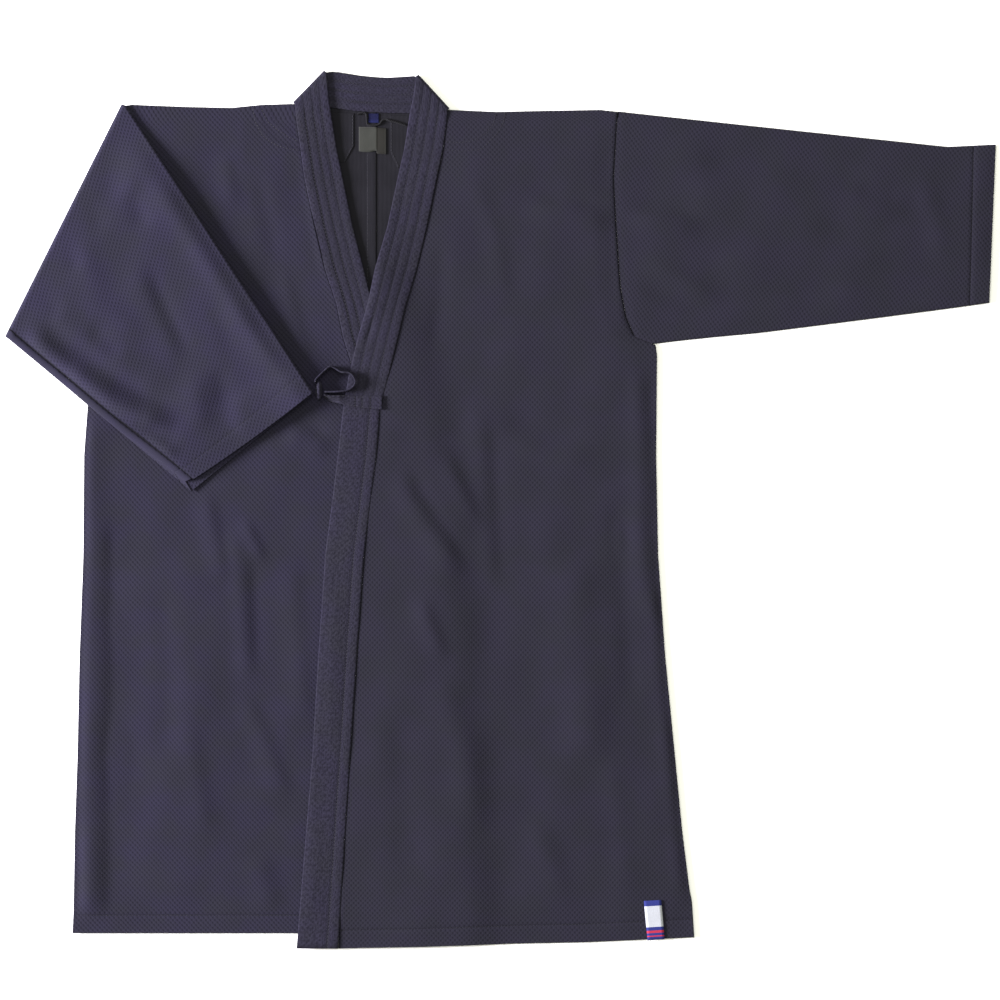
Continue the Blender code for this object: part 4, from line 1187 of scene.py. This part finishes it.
on_back = JERSEY + SEAM_GAP + HANGER_CORD / 2
hanger_points = in_frame(eased([(across, down, on_back + raised * (PATCH_CLOTH + SEAM_GAP))
                                for across, down, raised in HANGER_ROUTE], 60))
hanger_curve = bpy.data.curves.new("hanger_cord", "CURVE")
hanger_curve.dimensions = "3D"
hanger_curve.bevel_depth = HANGER_CORD / 2 * MM
hanger_curve.bevel_resolution = 4
hanger_curve.use_fill_caps = True
hanger_spline = hanger_curve.splines.new("POLY")
hanger_spline.points.add(len(hanger_points) - 1)
for point, place in zip(hanger_spline.points, hanger_points):
    point.co = (*place, 1.0)
hanger_curve.materials.append(cord_finish())
hanger = bpy.data.objects.new("hanger_cord", hanger_curve)
bpy.context.scene.collection.objects.link(hanger)
finish_piece(hanger, ["hanger_loop"])


def tape_finish():
    finish = Finish("size_tape", 0.7, sheen=0.02, specular=0.05)
    place = finish.grain()
    width, length = finish.split(place)
    ribs = width.wave(0.0007) * 0.5 + 0.5
    turn = length.between(0.3873, 0.3908)
    blue = finish.mixed(turn, (0.0068, 0.0088, 0.046), (0.0042, 0.0048, 0.026))
    finish.colour(finish.mixed(ribs * 0.3, blue, (0.003, 0.0035, 0.016)))
    finish.relief(ribs, 0.00015)
    return finish.material


size_tape = flat_piece("size_tape", SIZE_TAG, JERSEY + SEAM_GAP, TAG_CLOTH, tape_finish())
finish_piece(size_tape, ["size_tag"])


def label_finish():
    finish = Finish("label_satin", 0.6, sheen=0.02, specular=0.1)
    place = finish.grain()
    width, length = finish.split(place)
    ribs = length.wave(0.0006) * 0.5 + 0.5
    folded = width.between(0.0166, 0.0186)
    clouds = finish.mottle(place, 90.0, 2.0)
    left_part = finish.mixed(clouds, (0.0205, 0.0215, 0.0195), (0.0300, 0.0310, 0.0285))
    right_part = finish.mixed(clouds, (0.0125, 0.0120, 0.0110), (0.0165, 0.0158, 0.0148))
    face = finish.mixed(folded, left_part, right_part)
    rim = width.between(0.0255, 0.0266)
    face = finish.mixed(rim * 0.6, face, (0.042, 0.042, 0.042))
    top_rim = 1.0 - length.between(0.0008, 0.0016)
    face = finish.mixed(top_rim * 0.5, face, (0.042, 0.042, 0.042))
    finish.colour(finish.mixed(ribs * 0.12, face, (0.006, 0.006, 0.006)))
    finish.relief(ribs, 0.0001)
    return finish.material


label_rows = []
label_shape = eased(LABEL, 25)
for step in np.linspace(0, 1, 9):
    label_rows.append(np.column_stack([
        label_shape[:, 0], label_shape[:, 1] * (1 - step) + label_shape[:, 2] * step,
        JERSEY + SEAM_GAP + TAG_CLOTH / 2 + label_shape[:, 3]]))
label_grid = np.array(label_rows)
label_grain = label_grid[..., :2] - np.array([-16.7, 17.0])
label_satin = label_finish()
label = cloth("neck_label_satin", label_grid, label_grain, TAG_CLOTH, label_satin, label_satin, ((0, 8), (0, 24)))
finish_piece(label, ["neck_label"])

# Sleeves: each is a tube of jersey pressed flat, sewn into the armhole, with a stitched cuff. The left one
# lies straight. The right one is folded back over the front, so that its back and underarm seam look up.
SLEEVE_AIR = 1.4
FOLDED_AIR = 1.0
ARMHOLE_GAP = np.array([-0.2, 0.4])
UNDERARM_GAP = np.array([0.4, -0.4])
UNDERARM_DOWN = 235.0
EDGE_INSET = 1.7
SLEEVE_TOP_DOWN = {-1: -5.0, 1: 2.0}
LEFT_TOP_EDGE = ((242.3, 2.0), (571.3, 37.0), (619.8, 34.5))
LEFT_UNDER_EDGE = ((280.0, 235.0), (386.3, 224.0), (571.3, 199.0), (613.3, 193.0))
FOLD_TOP = np.array([-253.7, -6.0])
FOLD_UNDER = np.array([-370.6, 227.0])
CUFF_TOP = np.array([-62.2, 283.0])
CUFF_UNDER_LOWER = np.array([-184.0, 381.5])
CUFF_UNDER_UPPER = np.array([-190.5, 371.0])
UNDERARM_SEAM = 8.0
CUFF_DEPTH = 22.0
FROM_TOP = np.array([0.7, 0.85, 1.15, 1.7, 2.6, 4.0, 6.0, 8.5, 12.0])
FROM_UNDER = np.array([13.0, 11.0, 9.6, 8.8, 8.3, 8.0, 7.7, 7.2, 6.2, 5.0, 3.8, 2.6, 1.7, 1.15, 0.85, 0.7])
LEFT_SLEEVE_CREASES = [
    # width to the left or below, width to the right or above, height, route as across and down
    (12, 10, 1.6, ((246, 108), (284, 112), (334, 120))),
    (6, 8, -1.0, ((250, 96), (290, 98), (330, 104))),
    (18, 16, 1.5, ((300, 78), (400, 84), (540, 96))),
    (14, 14, -1.1, ((318, 50), (372, 50), (500, 70))),
    (12, 12, -1.0, ((476, 84), (492, 82), (530, 90))),
    (14, 10, 1.1, ((330, 150), (420, 152), (520, 150))),
    (10, 12, -0.9, ((300, 196), (380, 188), (480, 178))),
    (9, 9, 1.0, ((262, 150), (300, 166), (352, 196))),
    (8, 9, -0.8, ((258, 170), (290, 186), (330, 200))),
    (12, 12, 1.0, ((540, 60), (560, 110), (566, 160))),
    (12, 10, -0.8, ((430, 110), (470, 118), (540, 116))),
]
RIGHT_SLEEVE_CREASES = [
    # width to the left or below, width to the right or above, height, route as across and down
    (7, 14, 5.2, ((-362, 212), (-348, 227), (-319, 252), (-291, 273), (-264, 291), (-238, 305), (-196, 320))),
    (10, 13, -1.8, ((-350, 204), (-339, 211), (-309, 236), (-280, 256), (-255, 273), (-230, 285), (-190, 300))),
    (8, 18, 1.3, ((-336, 192), (-300, 222), (-250, 260), (-204, 290))),
    (6, 10, 1.8, ((-236, 332), (-216, 340), (-192, 352))),
    (9, 11, -1.0, ((-232, 318), (-212, 328), (-190, 338))),
    (14, 13, 1.8, ((-181, 256), (-177, 288), (-171, 330))),
    (8, 10, -1.0, ((-158, 254), (-152, 278), (-152, 304))),
    (16, 11, 1.3, ((-246, 148), (-224, 200), (-193, 266))),
    (8, 8, -1.1, ((-229, 150), (-207, 204), (-182, 250))),
    (14, 12, -1.7, ((-286, 36), (-272, 62), (-266, 100))),
    (12, 14, 1.3, ((-262, 16), (-246, 60), (-238, 112))),
    (11, 10, -1.7, ((-244, 74), (-237, 98), (-228, 124))),
    (16, 16, 1.6, ((-214, 60), (-180, 120), (-140, 182))),
    (12, 9, 1.3, ((-250, 12), (-212, 74), (-150, 172), (-88, 268))),
    (10, 10, -1.0, ((-294, 84), (-282, 104), (-272, 126))),
    (9, 9, -1.5, ((-316, 130), (-305, 146), (-296, 164))),
    (12, 12, 1.0, ((-300, 112), (-292, 150), (-270, 192))),
    (9, 9, -1.3, ((-340, 174), (-330, 190), (-312, 208))),
    (9, 9, -1.3, ((-290, 216), (-272, 230), (-252, 250))),
    (12, 10, 1.0, ((-300, 186), (-264, 204), (-226, 228))),
    (10, 12, -0.9, ((-170, 180), (-152, 214), (-138, 254))),
    (12, 10, 1.0, ((-150, 190), (-126, 224), (-104, 262))),
    (5, 9, 1.4, ((-262, 18), (-300, 94), (-352, 198))),
]


def in_cloth_places(length):
    """Places along a ring, close together at both edges and at the underarm seam."""
    middle = np.linspace(FROM_TOP[-1], length - FROM_UNDER[0], 46)[1:-1]
    return np.concatenate([FROM_TOP, middle, length - FROM_UNDER])


def armhole_bow(side, plan):
    """How far the armhole curves in from the straight line between its ends."""
    straight = np.interp(plan[:, 1], (SLEEVE_TOP_DOWN[side], UNDERARM_DOWN), (242.0, 280.0))
    return np.column_stack([edge_across(side, plan[:, 1]) - side * straight, np.zeros(len(plan))])


def ring(top, under, bow, walls, back_aside=0.0, front_aside=0.0):
    """One ring of a sleeve: along the back wall from the top edge to the underarm edge, and back along
    the front wall. walls gives both walls' heights from the share of the way, the place and the distances."""
    top, under = np.array(top, float), np.array(under, float)
    length = np.linalg.norm(under - top)
    walked = in_cloth_places(length)
    plan = top + (under - top) / length * walked[:, None]
    plan = plan + bow(plan)
    back, front = walls(walked / length, plan, walked, length)
    from_edge = np.minimum(walked, length - walked)
    inset = np.clip((EDGE_INSET - from_edge) / (EDGE_INSET - JERSEY / 2), 0.0, 1.0)
    rounded = np.sqrt(1 - inset ** 2)
    middle, half = (back + front) / 2, (front - back) / 2 * rounded
    middle_aside = (np.asarray(back_aside) + np.asarray(front_aside)) / 2
    share = rounded[:, None]
    back_plan = plan + middle_aside + (np.asarray(back_aside) - middle_aside) * share
    front_plan = plan + middle_aside + (np.asarray(front_aside) - middle_aside) * share
    return (np.column_stack([back_plan, middle - half]), np.column_stack([front_plan, middle + half]))


def no_bow(plan):
    return 0.0


def along(points, fraction):
    """A point at a fraction of the way along a broken line."""
    points = np.array(points, float)
    steps = np.linalg.norm(np.diff(points, axis=0), axis=1)
    walked = np.concatenate([[0.0], np.cumsum(steps)]) / steps.sum()
    return np.array([np.interp(fraction, walked, points[:, axis]) for axis in (0, 1)])


def turned(plan, degrees):
    """Places turned about the shoulder, to lay the knit's lattice along a sleeve."""
    angle = math.radians(degrees)
    spin = np.array([[math.cos(angle), math.sin(angle)], [-math.sin(angle), math.cos(angle)]])
    return plan @ spin.T


left_rings = []
LEFT_LENGTH = 380.0
left_stations = np.concatenate([[0, 0.004], np.linspace(0.012, 0.93, 84),
                                1 - np.array([23.6, 22.6, 22.0, 21.4, 20.4, 16, 11, 6, 2.5, 0.8, 0]) / LEFT_LENGTH])
for station in left_stations:
    gap = ARMHOLE_GAP * (1, -1) * (1 - station)

    def left_walls(step, plan, walked, length):
        inside = smooth(step / 0.08) * smooth((1 - step) / 0.08) * smooth((1 - station) / 0.03)
        creases = crease_height(LEFT_SLEEVE_CREASES, plan[:, 0], plan[:, 1])
        uneven = inside * (0.5 + np.maximum(-1.1, creases + ripple(plan[:, 0] + 90, plan[:, 1])))
        from_cuff = (1 - station) * LEFT_LENGTH
        dips = 0.5 * math.exp(-((from_cuff - CUFF_DEPTH) / 0.8) ** 2) + 0.5 * math.exp(-(station / 0.005) ** 2)
        air = SLEEVE_AIR - 0.5 * smooth((step - 0.6) / 0.4)
        return np.full(step.shape, JERSEY / 2), 1.5 * JERSEY + air + uneven - dips

    left_rings.append(ring(
        along(LEFT_TOP_EDGE, station) + gap,
        along(LEFT_UNDER_EDGE, station) + gap + UNDERARM_GAP * (1 - station),
        lambda plan: armhole_bow(1, plan) * (1 - station) ** 3, left_walls))
left_grid = np.array([np.vstack([back, front[::-1]]) for back, front in left_rings])
left_grain = turned(left_grid[..., :2], 8.0)
wall_columns = left_grid.shape[1] // 2
from_armhole = left_stations[:, None] * LEFT_LENGTH
# Painted shade in the grooves of the armhole seam and the cuff stitching.
cuff_groove_shade = 0.3 * np.exp(-((LEFT_LENGTH - from_armhole - CUFF_DEPTH) / 0.7) ** 2)
left_sleeve = cloth("left_sleeve_cloth", left_grid, left_grain, JERSEY, outside_knits[1], inside_knit,
                    ((5, 60), (wall_columns + 4, 2 * wall_columns - 8)),
                    groove_shade_and_smoothing=np.maximum(0.9 * np.exp(-(from_armhole / 1.3) ** 2), cuff_groove_shade),
                    hem_row=int(np.argmin(np.abs(LEFT_LENGTH - from_armhole - CUFF_DEPTH))))
finish_piece(left_sleeve, ["sleeve_left"])

back_low = JERSEY / 2
front_low = back_low + JERSEY + SLEEVE_AIR
front_over = front_low + JERSEY + LAYER_GAP
back_over = front_over + JERSEY + FOLDED_AIR
inner_turn = (front_over - front_low) / 2
outer_turn = (back_over - back_low) / 2
turn_centre = (back_over + back_low) / 2
fold_line = (FOLD_UNDER - FOLD_TOP) / np.linalg.norm(FOLD_UNDER - FOLD_TOP)
outward = np.array([-fold_line[1], fold_line[0]]) * (1 if fold_line[1] > 0 else -1)
fold_edge = outward * (outer_turn + JERSEY / 2)
right_rings = []
for station in (0.0, 0.02, 0.1, 0.25, 0.45, 0.65, 0.85):
    gap = ARMHOLE_GAP * (-1, -1) * (1 - station)
    top = np.array([-242.0, -5.0]) * (1 - station) + (FOLD_TOP - fold_edge) * station + gap
    under = np.array([-280.0, UNDERARM_DOWN]) * (1 - station) + (FOLD_UNDER - fold_edge) * station
    under = under + gap + UNDERARM_GAP * (-1, 1) * (1 - station)
    right_rings.append(ring(top, under, lambda plan: armhole_bow(-1, plan) * (1 - station) ** 2,
                            lambda step, plan, walked, length: (np.full(step.shape, back_low),
                                                                np.full(step.shape, front_low))))
base_rings = len(right_rings)
layers.lay([front for back, front in right_rings], JERSEY)
layers.settle(reach=16.0)
for angle in np.radians(np.arange(0, 181, 15)):
    right_rings.append(ring(
        FOLD_TOP - fold_edge, FOLD_UNDER - fold_edge, no_bow,
        lambda step, plan, walked, length: (
            np.full(step.shape, turn_centre - outer_turn * math.cos(angle)),
            np.full(step.shape, (front_low + front_over) / 2 - inner_turn * math.cos(angle))),
        back_aside=outward * outer_turn * math.sin(angle), front_aside=outward * inner_turn * math.sin(angle)))
RIGHT_LENGTH = 345.0
right_stations = np.concatenate([np.linspace(0.006, 0.925, 92),
                                 1 - np.array([23.6, 22.6, 22.0, 21.4, 20.4, 16, 11, 6, 2.5, 0.8, 0]) / RIGHT_LENGTH])
over_rings = []
for station in right_stations:
    settled = smooth(station / 0.16)

    def folded_walls(step, plan, walked, length):
        """The under wall lies on what is below, lifted along the long edge, and the over wall on it."""
        pile = layers.at(plan[:, 0], plan[:, 1])
        lift = 5.2 * smooth(station / 0.3) * np.exp(-(step / 0.22) ** 2)
        lift = lift + 1.6 * smooth((station - 0.6) / 0.4) * np.exp(-(step / 0.2) ** 2)
        rest = pile + LAYER_GAP + JERSEY / 2 + lift
        under = np.maximum(pile + SEAM_GAP + JERSEY / 2, front_over + (rest - front_over) * settled)
        puff = smooth(step / 0.12) * smooth((1 - step) / 0.08) * settled
        creases = crease_height(RIGHT_SLEEVE_CREASES, plan[:, 0], plan[:, 1]) + ripple(plan[:, 0], plan[:, 1])
        from_under = length - walked
        from_cuff = (1 - station) * RIGHT_LENGTH
        seam = 1.2 * np.exp(-((from_under - UNDERARM_SEAM) / 0.7) ** 2) * smooth(station / 0.02)
        strip = 0.8 * np.exp(-((from_under - 4.2) / 2.6) ** 2)
        cuff = 0.2 * math.exp(-((from_cuff - CUFF_DEPTH) / 0.8) ** 2)
        clear_of_seam = smooth((from_under - UNDERARM_SEAM) / 7.0) * smooth(step / 0.12) * settled
        raised = 1.7 * puff + np.maximum(-0.7 - 1.7 * puff, clear_of_seam * creases)
        over = under + JERSEY + FOLDED_AIR + raised + strip - seam - cuff
        return over, under

    top = (FOLD_TOP - fold_edge) * (1 - station) + CUFF_TOP * station
    lower = (FOLD_UNDER - fold_edge) * (1 - station) + CUFF_UNDER_LOWER * station
    over, under = ring(top, lower, no_bow, folded_walls)
    share = np.linspace(0, 1, len(over))[:, None]
    over[:, :2] += (CUFF_UNDER_UPPER - CUFF_UNDER_LOWER) * smooth((station - 0.5) / 0.5) * share ** 2
    over_rings.append(over)
    right_rings.append((over, under))
right_grid = np.array([np.vstack([back, front[::-1]]) for back, front in right_rings])
unfolded = right_grid[..., :2].copy()
past_fold = (unfolded - FOLD_TOP) @ outward
unfolded[base_rings + 6:] -= 2 * (past_fold[..., None] * outward)[base_rings + 6:]
right_grain = turned(unfolded * (-1, 1), 4.5)
# The folded sleeve's copy of the jersey is lighter than the fronts': painted light on the sleeve that lies on top.
folded_knit_painted_light = jersey("folded_sleeve_knit_painted_light", 0.52, 0.52, 0.3, (0.0168, 0.0148, 0.0316), (0.0159, 0.0151, 0.0254))
wall_columns = right_grid.shape[1] // 2
from_under = np.linalg.norm(right_grid[:, :wall_columns, :2] - right_grid[:, wall_columns - 1:wall_columns, :2], axis=2)
# Painted shade in the groove of the underarm seam; below 0, the strip beside the edge, where the cloth is pulled
# smooth.
underarm_shade_and_smoothing = np.exp(-((from_under - UNDERARM_SEAM) / 0.9) ** 2) - smooth((UNDERARM_SEAM - 1 - from_under) / 2.0)
right_groove_shade_and_smoothing = np.zeros(right_grid.shape[:2])
right_groove_shade_and_smoothing[:, :wall_columns] = underarm_shade_and_smoothing
cuff_index = int(np.argmin(np.abs((1 - right_stations) * RIGHT_LENGTH - CUFF_DEPTH)))
right_sleeve = cloth("right_sleeve_cloth", right_grid, right_grain, JERSEY, folded_knit_painted_light, inside_knit,
                     ((base_rings + 30, base_rings + 80), (8, wall_columns - 20)), groove_shade_and_smoothing=right_groove_shade_and_smoothing,
                     hem_row=len(right_grid) - len(right_stations) + cuff_index)
finish_piece(right_sleeve, ["sleeve_right"])
left_cuff_index = int(np.argmin(np.abs((1 - left_stations) * LEFT_LENGTH - CUFF_DEPTH)))
sew("cuff_stitches", [over_rings[cuff_index][6:-8] + ON_TOP, left_rings[left_cuff_index][1][6:-8] + ON_TOP],
    navy_thread)

bpy.context.view_layer.update()
